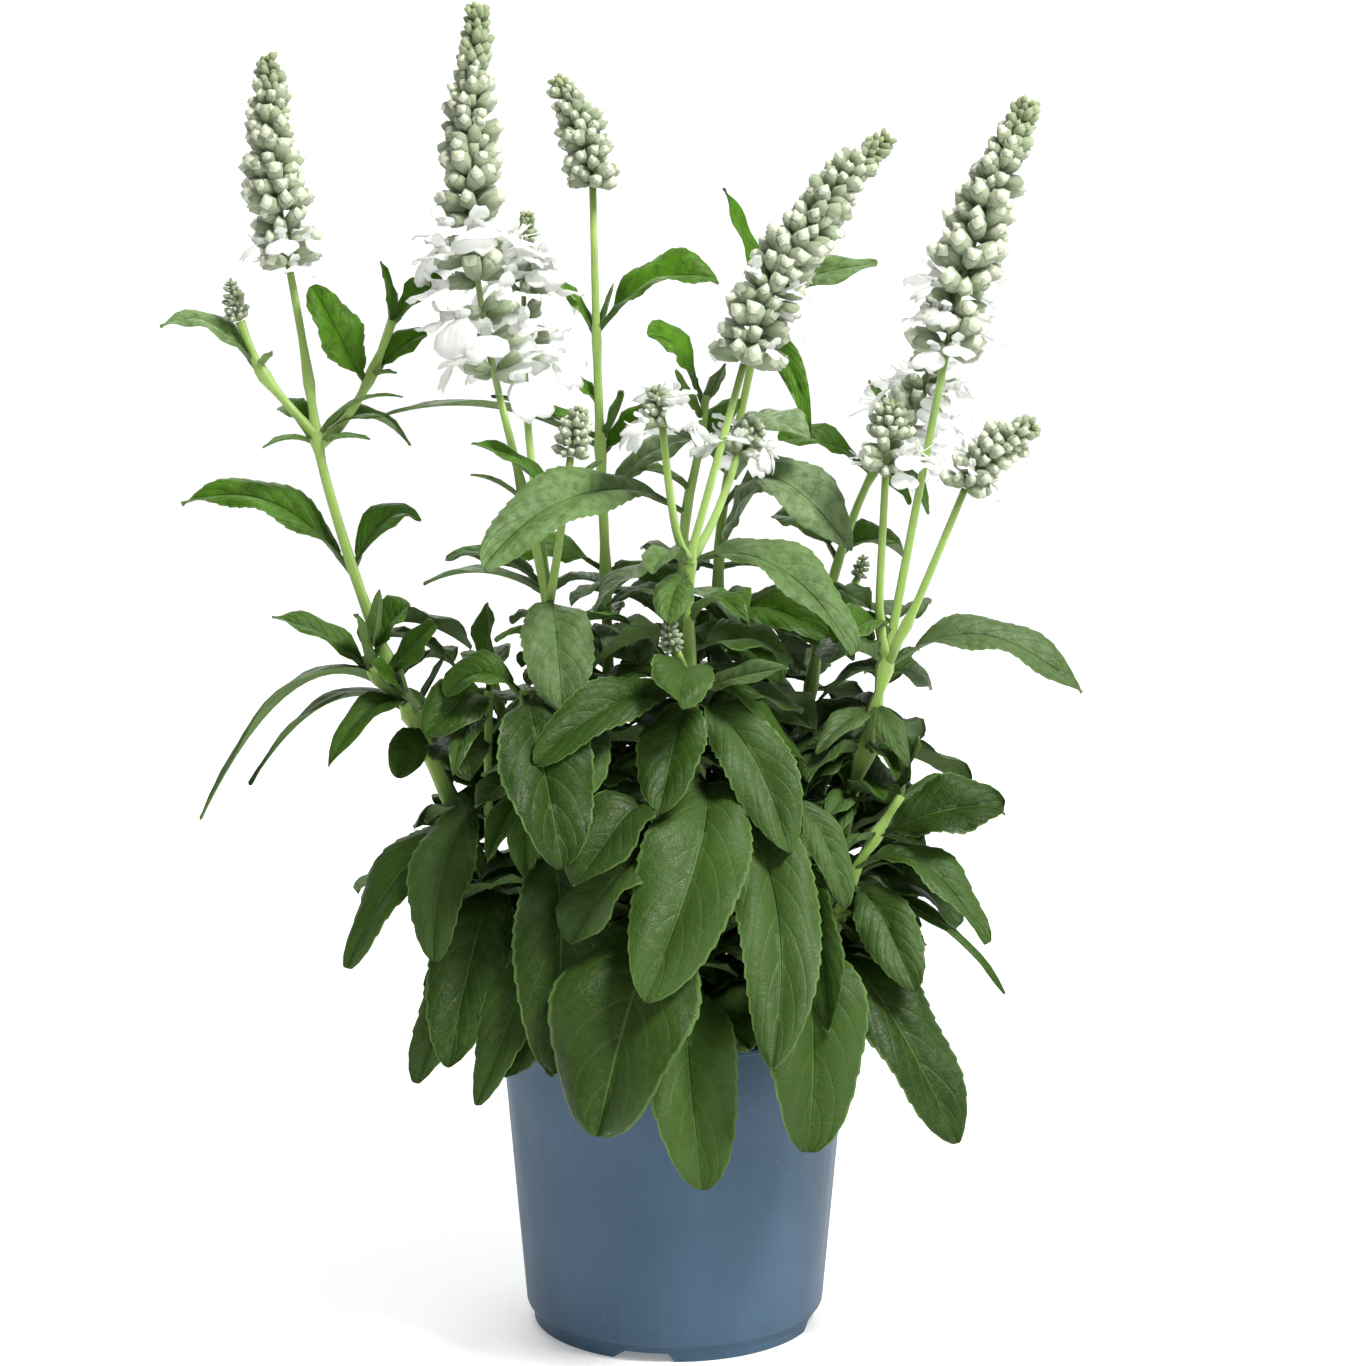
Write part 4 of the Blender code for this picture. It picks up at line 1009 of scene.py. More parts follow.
@dataclass(frozen=True)
class LeafFinish(Finish):
    """A leaf's face: its green by age, pale midrib and side veins, fine network and soft down.

    old and young are its greens, bloom and frost_and_sheen the paler grey-greens of its old and its young
    leaves, partly their own downy grey and partly painted sheen of the light from above, olive its flecks,
    vein_share how clearly its veins show, and through how much light shines through. The blade is also
    painted darker towards its stalk as painted shade, and lighter along its edge as a painted light rim.
    """

    old: Colour
    young: Colour
    vein: Colour
    bloom: Colour
    frost_and_sheen: Colour
    olive: Colour
    vein_share: float
    relief: float
    gloss: float
    down: float
    through: float
    side_veins: float = 7.0

    def paint(self, shader: Shader) -> None:
        """Put its nodes together."""
        along, side = shader.map_place()
        across = shader.folded(side)
        age = shader.attribute("age")
        tone = shader.attribute("tone")
        midrib = shader.span(across, 0.006, 0.038, 1.0, 0.0)
        sweep = shader.math("MULTIPLY", shader.math("POWER", across, 1.3), -2.5)
        phase = shader.math("MULTIPLY_ADD", along, self.side_veins, sweep)
        ridge = shader.folded(shader.math("FRACT", phase))
        fade = shader.span(across, 0.55, 0.95, 1.0, 0.15)
        vein = shader.math("MULTIPLY", shader.span(ridge, 0.80, 1.0), fade)
        network = shader.span(shader.cells(620.0), 0.0, 0.12, 1.0, 0.0)
        patches = shader.noise(34.0, 3.0)
        ground = shader.blend(age, self.young, self.old)
        # Painted sheen: leaves of high tone turn towards pale grey-greens, partly their own downy grey and
        # partly painted sheen of the light from above.
        pale = shader.blend(age, self.frost_and_sheen, self.bloom)
        ground = shader.over(ground, pale, tone, 0.5, 1.0, 0.0, 0.92)
        ground = shader.over(ground, self.young, tone, 0.0, 0.3, 0.3, 0.0)
        flecks = shader.noise(300.0, 4.0)
        ground = shader.over(ground, self.olive, flecks, 0.40, 0.66, 0.0, 0.52)
        shade = shader.math("MULTIPLY_ADD", patches, 0.9, shader.math("MULTIPLY_ADD", tone, 0.3, 0.4))
        # Painted shade: the blade is darker towards its stalk.
        shade = shader.math("MULTIPLY", shade, shader.span(along, -0.1, 0.45, 0.66, 1.0))
        ground = shader.shaded(ground, shade)
        lines = shader.math("MAXIMUM", midrib, shader.math("MULTIPLY", vein, 0.28))
        lines = shader.math("MAXIMUM", lines, shader.math("MULTIPLY", network, 0.14))
        # Painted light rim: the blade's edge turns towards the pale vein green.
        rim = shader.span(across, 0.92, 0.98, 0.0, 1.1)
        lines = shader.math("MULTIPLY", shader.math("MAXIMUM", lines, rim), self.vein_share)
        colour = shader.blend(lines, ground, self.vein)
        pillow = shader.math("MULTIPLY_ADD", shader.math("POWER", ridge, 2.0), -0.13,
                             shader.math("MULTIPLY", vein, -0.07))
        height = shader.math("MULTIPLY_ADD", midrib, -0.3, pillow)
        height = shader.math("MULTIPLY_ADD", shader.noise(110.0, 2.0), 0.7, height)
        height = shader.math("MULTIPLY_ADD", flecks, 0.35, height)
        height = shader.math("MULTIPLY_ADD", network, -0.05, height)
        height = shader.math("MULTIPLY_ADD", shader.noise(900.0, 2.0), 0.08, height)
        shader.bump(height, self.relief)
        shader.shine(Base_Color=colour, Sheen_Weight=self.down, Sheen_Roughness=0.45,
                     Specular_IOR_Level=0.23,
                     Roughness=shader.span(patches, 0.3, 0.7, self.gloss - 0.05, self.gloss + 0.09))
        shader.feed(shader.surface.inputs["Sheen Tint"], (0.86, 0.95, 0.80))
        light = shader.blend(0.5, colour, (0.26, 0.50, 0.02))
        shader.let_through(shader.math("MULTIPLY_ADD", age, -0.20, self.through), light)


@dataclass(frozen=True)
class StemFinish(Finish):
    """A square stem: green by age, paler along its ridges, with fine down."""

    old: Colour
    young: Colour
    ridge: Colour

    def paint(self, shader: Shader) -> None:
        """Put its nodes together."""
        _, around = shader.map_place()
        age = shader.attribute("age")
        ground = shader.blend(age, self.young, self.old)
        ground = shader.over(ground, self.ridge, shader.stripes(around, 4), 0.2, 1.0, 0.0, 0.55)
        streaks = shader.noise(160.0, 3.0)
        colour = shader.over(ground, (0.20, 0.27, 0.09), streaks, 0.35, 0.75, 0.0, 0.35)
        shader.bump(shader.noise(1400.0, 2.0), 0.0002)
        shader.shine(Base_Color=colour, Roughness=0.52, Sheen_Weight=0.3, Sheen_Roughness=0.4)
        shader.let_through(0.12, (0.35, 0.50, 0.12))


@dataclass(frozen=True)
class FeltFinish(Finish):
    """The felted calyx: darker green at its foot, partly its own green and partly painted shade where the
    buds crowd the axis, pale and downy towards its mouth, yellower near the tip.
    """

    foot: Colour
    mouth: Colour
    fresh: Colour
    through: float

    def paint(self, shader: Shader) -> None:
        """Put its nodes together."""
        along, around = shader.map_place()
        tone = shader.attribute("tone")
        age = shader.attribute("age")
        mottle = shader.noise(700.0, 3.0)
        rise = shader.math("MULTIPLY_ADD", mottle, 0.5, shader.math("ADD", along, -0.25))
        # The darker green towards the foot is partly the calyx's own green and partly painted shade where the
        # buds crowd the axis.
        colour = shader.over(self.foot, self.mouth, rise, 0.15, 0.95)
        colour = shader.over(colour, self.foot, shader.stripes(around, 7), 0.1, 1.0, 0.0, 0.36)
        colour = shader.over(colour, self.fresh, age, 0.0, 0.45, 0.75, 0.0)
        shade = shader.math("MULTIPLY_ADD", tone, 0.3, 0.8)
        colour = shader.shaded(colour, shade)
        shader.bump(shader.noise(2600.0, 3.0), 0.00025)
        shader.shine(Base_Color=colour, Roughness=0.72, Sheen_Weight=0.6, Sheen_Roughness=0.5)
        shader.let_through(self.through, colour)


@dataclass(frozen=True)
class PetalFinish(Finish):
    """The white corolla: folds in its relief, soft patches of faint grey that are painted shade, a trace of
    green or cream low in the throat.
    """

    white: Colour
    throat: Colour
    tip: Colour
    through: float

    def paint(self, shader: Shader) -> None:
        """Put its nodes together."""
        along, around = shader.map_place()
        folds = shader.math("SINE", shader.math("MULTIPLY", around, 34.0))
        colour = shader.over(self.white, self.throat, along, 0.0, 0.45, 0.75, 0.0)
        colour = shader.over(colour, self.tip, along, 0.82, 1.0)
        # Painted shade: soft patches of faint grey over the white.
        soft = shader.noise(260.0, 3.0)
        colour = shader.over(colour, (0.66, 0.68, 0.66), soft, 0.4, 0.75, 0.0, 0.22)
        shader.bump(shader.math("MULTIPLY_ADD", folds, 0.4, shader.noise(1500.0, 2.0)), 0.00018)
        shader.shine(Base_Color=colour, Roughness=0.6, Sheen_Weight=0.1, Sheen_Roughness=0.4)
        shader.let_through(self.through, (0.94, 0.95, 0.93))


@dataclass(frozen=True)
class PlasticFinish(Finish):
    """Matte moulded plastic: faint flow streaks, rubbed spots and a little dust."""

    name: str = "matte_blue_plastic"
    base: Colour = (0.032, 0.072, 0.124)
    light: Colour = (0.041, 0.087, 0.145)

    def paint(self, shader: Shader) -> None:
        """Put its nodes together."""
        stretch = shader.node("ShaderNodeMapping")
        shader.feed(stretch.inputs["Vector"], shader.place)
        stretch.inputs["Scale"].default_value = (1.0, 1.0, 0.12)
        streaks = shader.noise(130.0, 4.0, stretch.outputs[0])
        clouds = shader.noise(22.0, 3.0)
        colour = shader.over(self.base, self.light, clouds, 0.35, 0.7)
        colour = shader.over(colour, (0.085, 0.135, 0.19), streaks, 0.45, 0.8, 0.0, 0.25)
        specks = shader.noise(420.0, 2.0)
        colour = shader.over(colour, (0.11, 0.16, 0.21), specks, 0.66, 0.78, 0.0, 0.35)
        shader.bump(shader.noise(1700.0, 3.0), 0.00012)
        shader.shine(Base_Color=colour, Roughness=shader.span(streaks, 0.3, 0.8, 0.46, 0.62),
                     Specular_IOR_Level=0.3)


@dataclass(frozen=True)
class SoilFinish(Finish):
    """Moist peat: near black with brown crumbs and pale fibres."""

    name: str = "moist_peat"
    dark: Colour = (0.012, 0.008, 0.005)
    brown: Colour = (0.065, 0.038, 0.022)

    def paint(self, shader: Shader) -> None:
        """Put its nodes together."""
        crumbs = shader.noise(420.0, 5.0)
        colour = shader.over(self.dark, self.brown, crumbs, 0.35, 0.7)
        fibres = shader.noise(240.0, 2.0, distortion=2.5)
        colour = shader.over(colour, (0.17, 0.11, 0.06), fibres, 0.66, 0.74, 0.0, 0.5)
        shader.bump(shader.math("ADD", crumbs, shader.cells(300.0)), 0.0014)
        shader.shine(Base_Color=colour, Roughness=0.93)


@dataclass(frozen=True)
class ChipFinish(Finish):
    """Bark chips and mineral grains on the soil, dark or pale by the tone that each carries."""

    name: str = "bark_and_grain"

    def paint(self, shader: Shader) -> None:
        """Put its nodes together."""
        tone = shader.attribute("tone")
        bark = shader.blend(shader.noise(300.0, 4.0), (0.045, 0.026, 0.015), (0.15, 0.085, 0.045))
        colour = shader.over(bark, (0.62, 0.60, 0.54), tone, 0.86, 0.88)
        shader.bump(shader.noise(900.0, 4.0), 0.0005)
        shader.shine(Base_Color=colour, Roughness=0.88)


@dataclass(frozen=True)
class BackdropFinish(Finish):
    """Plain pale paper for the floor and the wall behind, which glows more towards its top."""

    name: str = "pale_paper"
    low_glow: float = 0.22
    glow: float = 0.5

    def paint(self, shader: Shader) -> None:
        """Put its nodes together."""
        colour = shader.blend(shader.noise(2.5, 2.0), (0.90, 0.90, 0.90), (0.93, 0.93, 0.93))
        glow = shader.span(shader.parts(shader.place)[2], 0.0, 0.5, self.low_glow, self.glow)
        shader.shine(Base_Color=colour, Roughness=0.9, Specular_IOR_Level=0.1, Emission_Strength=glow)
        shader.feed(shader.surface.inputs["Emission Color"], (1.0, 1.0, 1.0))


class Green(Enum):
    """Finishes of a stem piece, in the order of its slots."""

    STEM = StemFinish("square_stem", (0.18, 0.33, 0.03), (0.27, 0.43, 0.09), (0.44, 0.58, 0.22))
    UPPER = LeafFinish("leaf_upper_face", old=(0.012, 0.040, 0.001), young=(0.078, 0.215, 0.005),
                       vein=(0.105, 0.190, 0.045), bloom=(0.034, 0.078, 0.012),
                       frost_and_sheen=(0.235, 0.310, 0.170), olive=(0.036, 0.060, 0.004), vein_share=0.62,
                       relief=0.0011, gloss=0.46, down=0.02, through=0.30)
    UNDER = LeafFinish("leaf_underside", old=(0.070, 0.130, 0.032), young=(0.17, 0.30, 0.07),
                       vein=(0.20, 0.30, 0.11), bloom=(0.13, 0.21, 0.08), frost_and_sheen=(0.22, 0.32, 0.14),
                       olive=(0.10, 0.15, 0.04), vein_share=0.6, relief=0.0008, gloss=0.62, down=0.12,
                       through=0.28)


class White(Enum):
    """Finishes of a spike piece, in the order of its slots."""

    AXIS = StemFinish("felted_axis", (0.16, 0.25, 0.06), (0.24, 0.34, 0.10), (0.38, 0.48, 0.24))
    CALYX = FeltFinish("calyx_felt", (0.21, 0.30, 0.11), (0.43, 0.50, 0.33), (0.42, 0.51, 0.16), 0.35)
    BUD = PetalFinish("closed_corolla", (0.68, 0.73, 0.55), (0.42, 0.50, 0.25), (0.60, 0.66, 0.32), 0.25)
    PETAL = PetalFinish("open_corolla", (0.96, 0.96, 0.96), (0.86, 0.89, 0.76), (0.96, 0.96, 0.96), 0.66)


def take_in(whole: bmesh.types.BMesh, part: bmesh.types.BMesh) -> None:
    """Add a part to a body; the part is freed."""
    mesh = bpy.data.meshes.new("part")
    part.to_mesh(mesh)
    part.free()
    whole.from_mesh(mesh)
    bpy.data.meshes.remove(mesh)


def linked(name: str, data: bpy.types.ID) -> bpy.types.Object:
    """A new object of the scene."""
    made = bpy.data.objects.new(name, data)
    bpy.context.scene.collection.objects.link(made)
    return made


class Piece:
    """One finished mesh that grows part by part and then stands in the frame."""

    def __init__(self, name: str, finishes: Sequence[bpy.types.Material]) -> None:
        """Start an empty piece with its finishes."""
        self.name = name
        self.finishes = finishes
        self.solid = bmesh.new()
        self.solid.loops.layers.uv.new(MAP)
        for layer in ("age", "tone"):
            self.solid.verts.layers.float.new(layer)

    def add(self, part: bmesh.types.BMesh) -> None:
        """Add a part, which is freed."""
        take_in(self.solid, part)

    def stamp(self, pattern: bpy.types.Mesh, place: Matrix, tone: float, age: float) -> None:
        """Add a copy of a pattern.

        Args:
            pattern: The mesh to copy, in millimetres.
            place: Where it stands, in millimetres.
            tone: Its tone attribute.
            age: Its age attribute.
        """
        mesh = pattern.copy()
        mesh.transform(Matrix.Scale(MM, 4) @ place)
        for name, value in (("tone", tone), ("age", age)):
            mesh.attributes[name].data.foreach_set("value", [value] * len(mesh.vertices))
        self.solid.from_mesh(mesh)
        bpy.data.meshes.remove(mesh)

    def finish(self, slot: Slot, *nodes: str) -> bpy.types.Object:
        """Make the object, let it ride on the root and replace the nodes that it stands for."""
        mesh = bpy.data.meshes.new(self.name)
        for face in self.solid.faces:
            face.smooth = True
        self.solid.to_mesh(mesh)
        self.solid.free()
        for material in self.finishes:
            mesh.materials.append(material)
        made = linked(self.name, mesh)
        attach(made, ROOT)
        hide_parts(*nodes)
        LOG.info("%s: %d faces", self.name, len(mesh.polygons))
        return made


def numbered(solid: bmesh.types.BMesh, tone: float = 0.5,
             age: Union[float, Callable[[Vector], float]] = 0.5) -> None:
    """Give a body its tone and age attributes.

    Args:
        solid: The body.
        tone: The tone of all of it.
        age: The age of all of it, or a rule that gives it from a vertex's place in metres.
    """
    tones = solid.verts.layers.float.get("tone") or solid.verts.layers.float.new("tone")
    ages = solid.verts.layers.float.get("age") or solid.verts.layers.float.new("age")
    for vert in solid.verts:
        vert[tones] = tone
        vert[ages] = age(vert.co) if callable(age) else age


@dataclass(frozen=True)
class LeafMaker:
    """Makes the fine mesh of a leaf on the surface that its plain blade has.

    Lengths are millimetres. fold, curl and hook are shares of the half width or the width by which a
    leaf is folded along its midrib, bent down at its edges and turned aside at its tip. tooth is the
    (run, height) of the corners of a tooth. broad and narrow are the places across a leaf. Leaves
    over toothed_width and toothed_length get teeth, leaves over broad_width the broad places, and
    leaves over wide_width a flatter blade.
    """

    thickness: float = 0.44
    midrib: float = 0.8
    midrib_share: float = 0.16
    stalk_depth: float = 1.5
    pillow: float = 0.16
    ripple: float = 0.085
    tooth_pitch: float = 4.2
    tooth_depth: float = 0.7
    tooth: tuple = ((0.12, 0.0), (0.55, 0.55), (0.92, 1.0))
    plain_pitch: float = 3.2
    edge: float = 0.8
    crease: float = 1.2
    hook: float = 0.16
    fold: tuple = (0.26, 0.66)
    curl: tuple = (0.05, 0.34)
    broad: tuple = (-1.0, -0.84, -0.5, -0.14, 0.0, 0.14, 0.5, 0.84, 1.0)
    narrow: tuple = (-1.0, -0.5, 0.0, 0.5, 1.0)
    toothed_width: float = 15.0
    toothed_length: float = 34.0
    broad_width: float = 9.0
    wide_width: float = 17.0
    age_span: float = 110.0
    young_until: float = 0.55

    def stations(self, blade: Blade, toothed: bool) -> list[tuple[float, float]]:
        """Places along a leaf, each with the share of a tooth that its edge has there."""
        stalk = blade.leaf.form.stalk
        found = [(0.0, 0.0), (0.5 * stalk, 0.0), (stalk, 0.0)]
        blade_length = blade.length() * (1.0 - stalk)
        if toothed:
            teeth = max(6, round(blade_length / self.tooth_pitch))
            for index in range(teeth):
                for phase, height in self.tooth:
                    run = (index + phase) / teeth
                    ease = min(1.0, 5.0 * run, 6.0 * (1.0 - run))
                    found.append((stalk + run * (1.0 - stalk), height * ease))
        else:
            steps = max(7, min(16, round(blade_length / self.plain_pitch)))
            for step in range(1, steps):
                found.append((stalk + (step / steps) * (1.0 - stalk), 0.0))
        run = 1.0 - found[-1][0]
        found += [(1.0 - 0.45 * run, 0.0), (1.0 - 0.12 * run, 0.0), (1.0, 0.0)]
        return [found[0], found[1], found[2], (stalk + 0.02 * (1.0 - stalk), 0.0)] + found[3:]

    def make(self, blade: Blade, dice: random.Random) -> bmesh.types.BMesh:
        """Build the fine leaf.

        Args:
            blade: The surface to follow.
            dice: Gives its tone.

        Returns:
            The closed leaf, upper and lower face in slots of their own.
        """
        leaf = blade.leaf
        toothed = leaf.width > self.toothed_width and blade.length() > self.toothed_length
        stations = self.stations(blade, toothed)
        across = self.broad if leaf.width > self.broad_width else self.narrow
        spans = len(across) - 1
        stalk = leaf.form.stalk
        middle = 0.5 * (leaf.tip[2] + blade.foot.z)
        age = clamped((YOUNG_HEIGHT - middle) / self.age_span)
        age = min(1.0, age * (0.72 + 0.010 * leaf.width) + dice.uniform(-0.08, 0.08))
        frames = []
        for share, tooth in stations:
            side, normal = blade.frame(share)
            frames.append((blade.centre(share), side, normal, blade.half_width(min(share, 1.0)), tooth))
        fold, curl = dice.uniform(*self.fold), dice.uniform(*self.curl)
        hook = self.hook * leaf.width * dice.uniform(-1.0, 1.0)
        tone = dice.random()
        thickness = self.thickness * (1.0 + 0.02 * max(0.0, leaf.width - self.toothed_width))
        if leaf.width > self.wide_width:
            fold, curl = 0.5 * (fold + self.fold[0]), 0.5 * (curl + self.curl[0])
            young = age < self.young_until
            # Wide young leaves get a high tone, which gives them more of the painted sheen.
            tone = max(tone, dice.uniform(0.7, 1.0)) if young else dice.uniform(0.2, 1.0)

        def across_at(row: int) -> float:
            """The place across the leaf of a row, on its upper or its lower face."""
            return across[row] if row <= spans else across[2 * spans - row]

        def place(column: int, row: int) -> Vector:
            """The point of a station and a row."""
            centre, side, normal, half, tooth = frames[column]
            share = stations[column][0]
            if share >= 1.0:
                return centre + side * hook
            c = across_at(row)
            reach = half * c + math.copysign(self.tooth_depth * tooth * abs(c) ** 4, c)
            blade_share = clamped((share - stalk) / (1.0 - stalk) * 6.0)
            lift = fold * half * (math.sqrt(c * c + 0.01) - 0.1)
            lift += self.pillow * half * math.sin(math.pi * abs(c)) * blade_share
            lift -= curl * half * abs(c) ** 4 * blade_share
            lift += self.ripple * leaf.width * blade.wave(share, c) * abs(c) ** 1.5
            bent = max(0.0, share - 0.6) / 0.4
            reach += hook * bent * bent
            if row > spans:
                rib = math.exp(-(c / self.midrib_share) ** 2)
                run = max(0.0, (share - stalk) / (1.0 - stalk))
                body = thickness + self.midrib * (1.0 - run) * rib
                lift -= self.stalk_depth * (1.0 - c * c) if share <= stalk else body * (1.0 - abs(c) ** 12)
            return centre + side * reach + normal * lift

        def mapped(column: int, row: int) -> tuple[float, float]:
            """The place of a cell on the map: along the blade and across it."""
            return (stations[column][0] - stalk) / (1.0 - stalk), 0.5 + 0.5 * across_at(row)

        def slot_of(rows: list[int]) -> int:
            """The slot of a face: the upper face's reaches round the edge."""
            at_edge = min(abs(across_at(row)) for row in rows) > self.edge
            return UPPER_SLOT if max(rows) <= spans or at_edge else UNDER_SLOT

        solid = wrap(len(stations) - 1, 2 * spans, place, mapped, slot_of)
        for edge in solid.edges:
            edge.smooth = len(edge.link_faces) == 2 and edge.calc_face_angle() < self.crease
        numbered(solid, tone, age)
        return solid


@dataclass(frozen=True)
class RodMaker:
    """Makes a square stem with rounded ridges, thicker where leaves leave it and greener with age."""

    sides: int = 12
    ridge: float = 0.09
    girth: float = 1.26
    knot_swell: float = 0.22
    knot_reach: float = 3.0
    age_span: float = 150.0

    def make(self, course: Sequence[Vector], first: float, last: float,
             knots: Sequence[float] = ()) -> bmesh.types.BMesh:
        """Build the stem.

        Args:
            course: Its centre line.
            first: Radius at its foot.
            last: Radius at its tip.
            knots: Heights where it is thicker.

        Returns:
            The closed stem.
        """
        count = len(course) - 1
        ahead = [(course[min(i + 1, count)] - course[max(i - 1, 0)]).normalized() for i in range(count + 1)]
        side = ahead[0].orthogonal().normalized()
        sides = []
        for direction in ahead:
            side = (side - direction * side.dot(direction)).normalized()
            sides.append(side)

        def place(column: int, row: int) -> Vector:
            """The point of a station and a row."""
            radius = self.girth * (first + (last - first) * column / count)
            height = course[column].z
            swell = sum(math.exp(-((height - knot) / self.knot_reach) ** 2) for knot in knots)
            radius *= 1.0 + self.knot_swell * swell
            angle = 2.0 * math.pi * row / self.sides
            radius *= 1.0 + self.ridge * math.cos(4.0 * angle)
            return course[column] + Quaternion(ahead[column], angle) @ sides[column] * radius

        solid = wrap(count, self.sides, place, lambda column, row: (column / count, row / self.sides))
        numbered(solid, age=lambda co: clamped((YOUNG_HEIGHT - co.z / MM) / self.age_span))
        return solid


@dataclass
class LeafyStem:
    """A stem with its side branches and leaves."""

    stem: Stem
    leaves: LeafMaker = field(default_factory=LeafMaker)
    rods: RodMaker = field(default_factory=RodMaker)

    def build(self, layout: Layout, finishes: Sequence[bpy.types.Material]) -> bpy.types.Object:
        """Build the stem's piece.

        Args:
            layout: The plant.
            finishes: Materials of stem, upper faces and undersides.

        Returns:
            The finished object, which replaces the stem's node.
        """
        piece = Piece("fine_" + self.stem.name, finishes)
        dice = random.Random(self.stem.name)
        knots = [blade.foot.z for blade in layout.blades[self.stem.name]]
        for grown in layout.axes:
            if grown.stem is self.stem:
                line = rounded(grown.course)
                piece.add(self.rods.make(line, grown.radii[0], grown.radii[-1], knots))
        for blade in layout.blades[self.stem.name]:
            piece.add(self.leaves.make(blade, dice))
        return piece.finish(Slot.LEAF, self.stem.name)


def spun(profile: Sequence[tuple[float, float]], steps: int, slot: int) -> bmesh.types.BMesh:
    """A turned body about Z whose map runs from its foot to its top and round it.

    Args:
        profile: (radius, height) from the foot up.
        steps: Number of faces round it.
        slot: Its finish.

    Returns:
        The closed body.
    """
    solid = bmesh.new()
    verts = [solid.verts.new((radius, 0.0, height)) for radius, height in profile]
    edges = [solid.edges.new(pair) for pair in zip(verts, verts[1:])]
    bmesh.ops.spin(solid, geom=verts + edges, cent=(0.0, 0.0, 0.0), axis=(0.0, 0.0, 1.0),
                   dvec=(0.0, 0.0, 0.0), angle=2.0 * math.pi, steps=steps, use_merge=True,
                   use_duplicate=False)
    bmesh.ops.remove_doubles(solid, verts=solid.verts[:], dist=0.0001)
    bmesh.ops.recalc_face_normals(solid, faces=solid.faces[:])
    low = min(height for _, height in profile)
    high = max(height for _, height in profile)
    uv = solid.loops.layers.uv.new(MAP)
    for face in solid.faces:
        face.material_index = slot
        for loop in face.loops:
            x, y, z = loop.vert.co
            loop[uv].uv = ((z - low) / (high - low), 0.5 + math.atan2(y, x) / (2.0 * math.pi))
    return solid


def pattern_of(parts: Sequence[bmesh.types.BMesh], name: str) -> bpy.types.Mesh:
    """Join parts to one mesh that can be stamped; the parts are freed."""
    whole = bmesh.new()
    whole.loops.layers.uv.new(MAP)
    for part in parts:
        numbered(part)
        take_in(whole, part)
    mesh = bpy.data.meshes.new(name)
    whole.to_mesh(mesh)
    whole.free()
    return mesh


@dataclass(frozen=True)
class PetalMaker:
    """Makes a ruffled petal as a thin closed sheet; droop is in radians, notch a share of its length."""

    length: float
    width: float
    droop: float
    ruffle: float
    notch: float
    thickness: float = 0.25
    columns: int = 5
    rows: int = 6

    def make(self, foot: Vector, phase: float) -> bmesh.types.BMesh:
        """Build the petal.

        Args:
            foot: Where it leaves the tube; it runs along +Z and droops towards -X.
            phase: Turns its ruffles.

        Returns:
            The petal.
        """
        solid = bmesh.new()
        bmesh.ops.create_grid(solid, x_segments=self.columns, y_segments=self.rows, size=0.5)
        uv = solid.loops.layers.uv.new(MAP)
        for face in solid.faces:
            face.material_index = PETAL_SLOT
            for loop in face.loops:
                loop[uv].uv = (loop.vert.co.x + 0.5, loop.vert.co.y + 0.5)
        for vert in solid.verts:
            along = vert.co.x + 0.5
            across = 2.0 * vert.co.y
            half = 0.5 * self.width * (0.22 + 0.78 * math.sin(0.5 * math.pi * min(1.0, 1.3 * along)) ** 1.2)
            end = 1.0 - self.notch * math.exp(-(across / 0.2) ** 2) - 0.28 * abs(across) ** 2.6
            run = along * (end if along > 0.5 else 1.0 + (end - 1.0) * 2.0 * along)
            wave = self.ruffle * math.sin(5.5 * across + phase) * along ** 1.5
            wave += 0.5 * self.ruffle * math.sin(11.0 * along + 3.0 * across + phase)
            curve = self.droop * run ** 1.6
            vert.co = foot + Vector((-curve * self.length + wave - 0.18 * half * across ** 2,
                                     half * across,
                                     self.length * run * math.cos(0.9 * self.droop * run)))
        bmesh.ops.solidify(solid, geom=solid.faces[:], thickness=self.thickness)
        bmesh.ops.recalc_face_normals(solid, faces=solid.faces[:])
        return solid


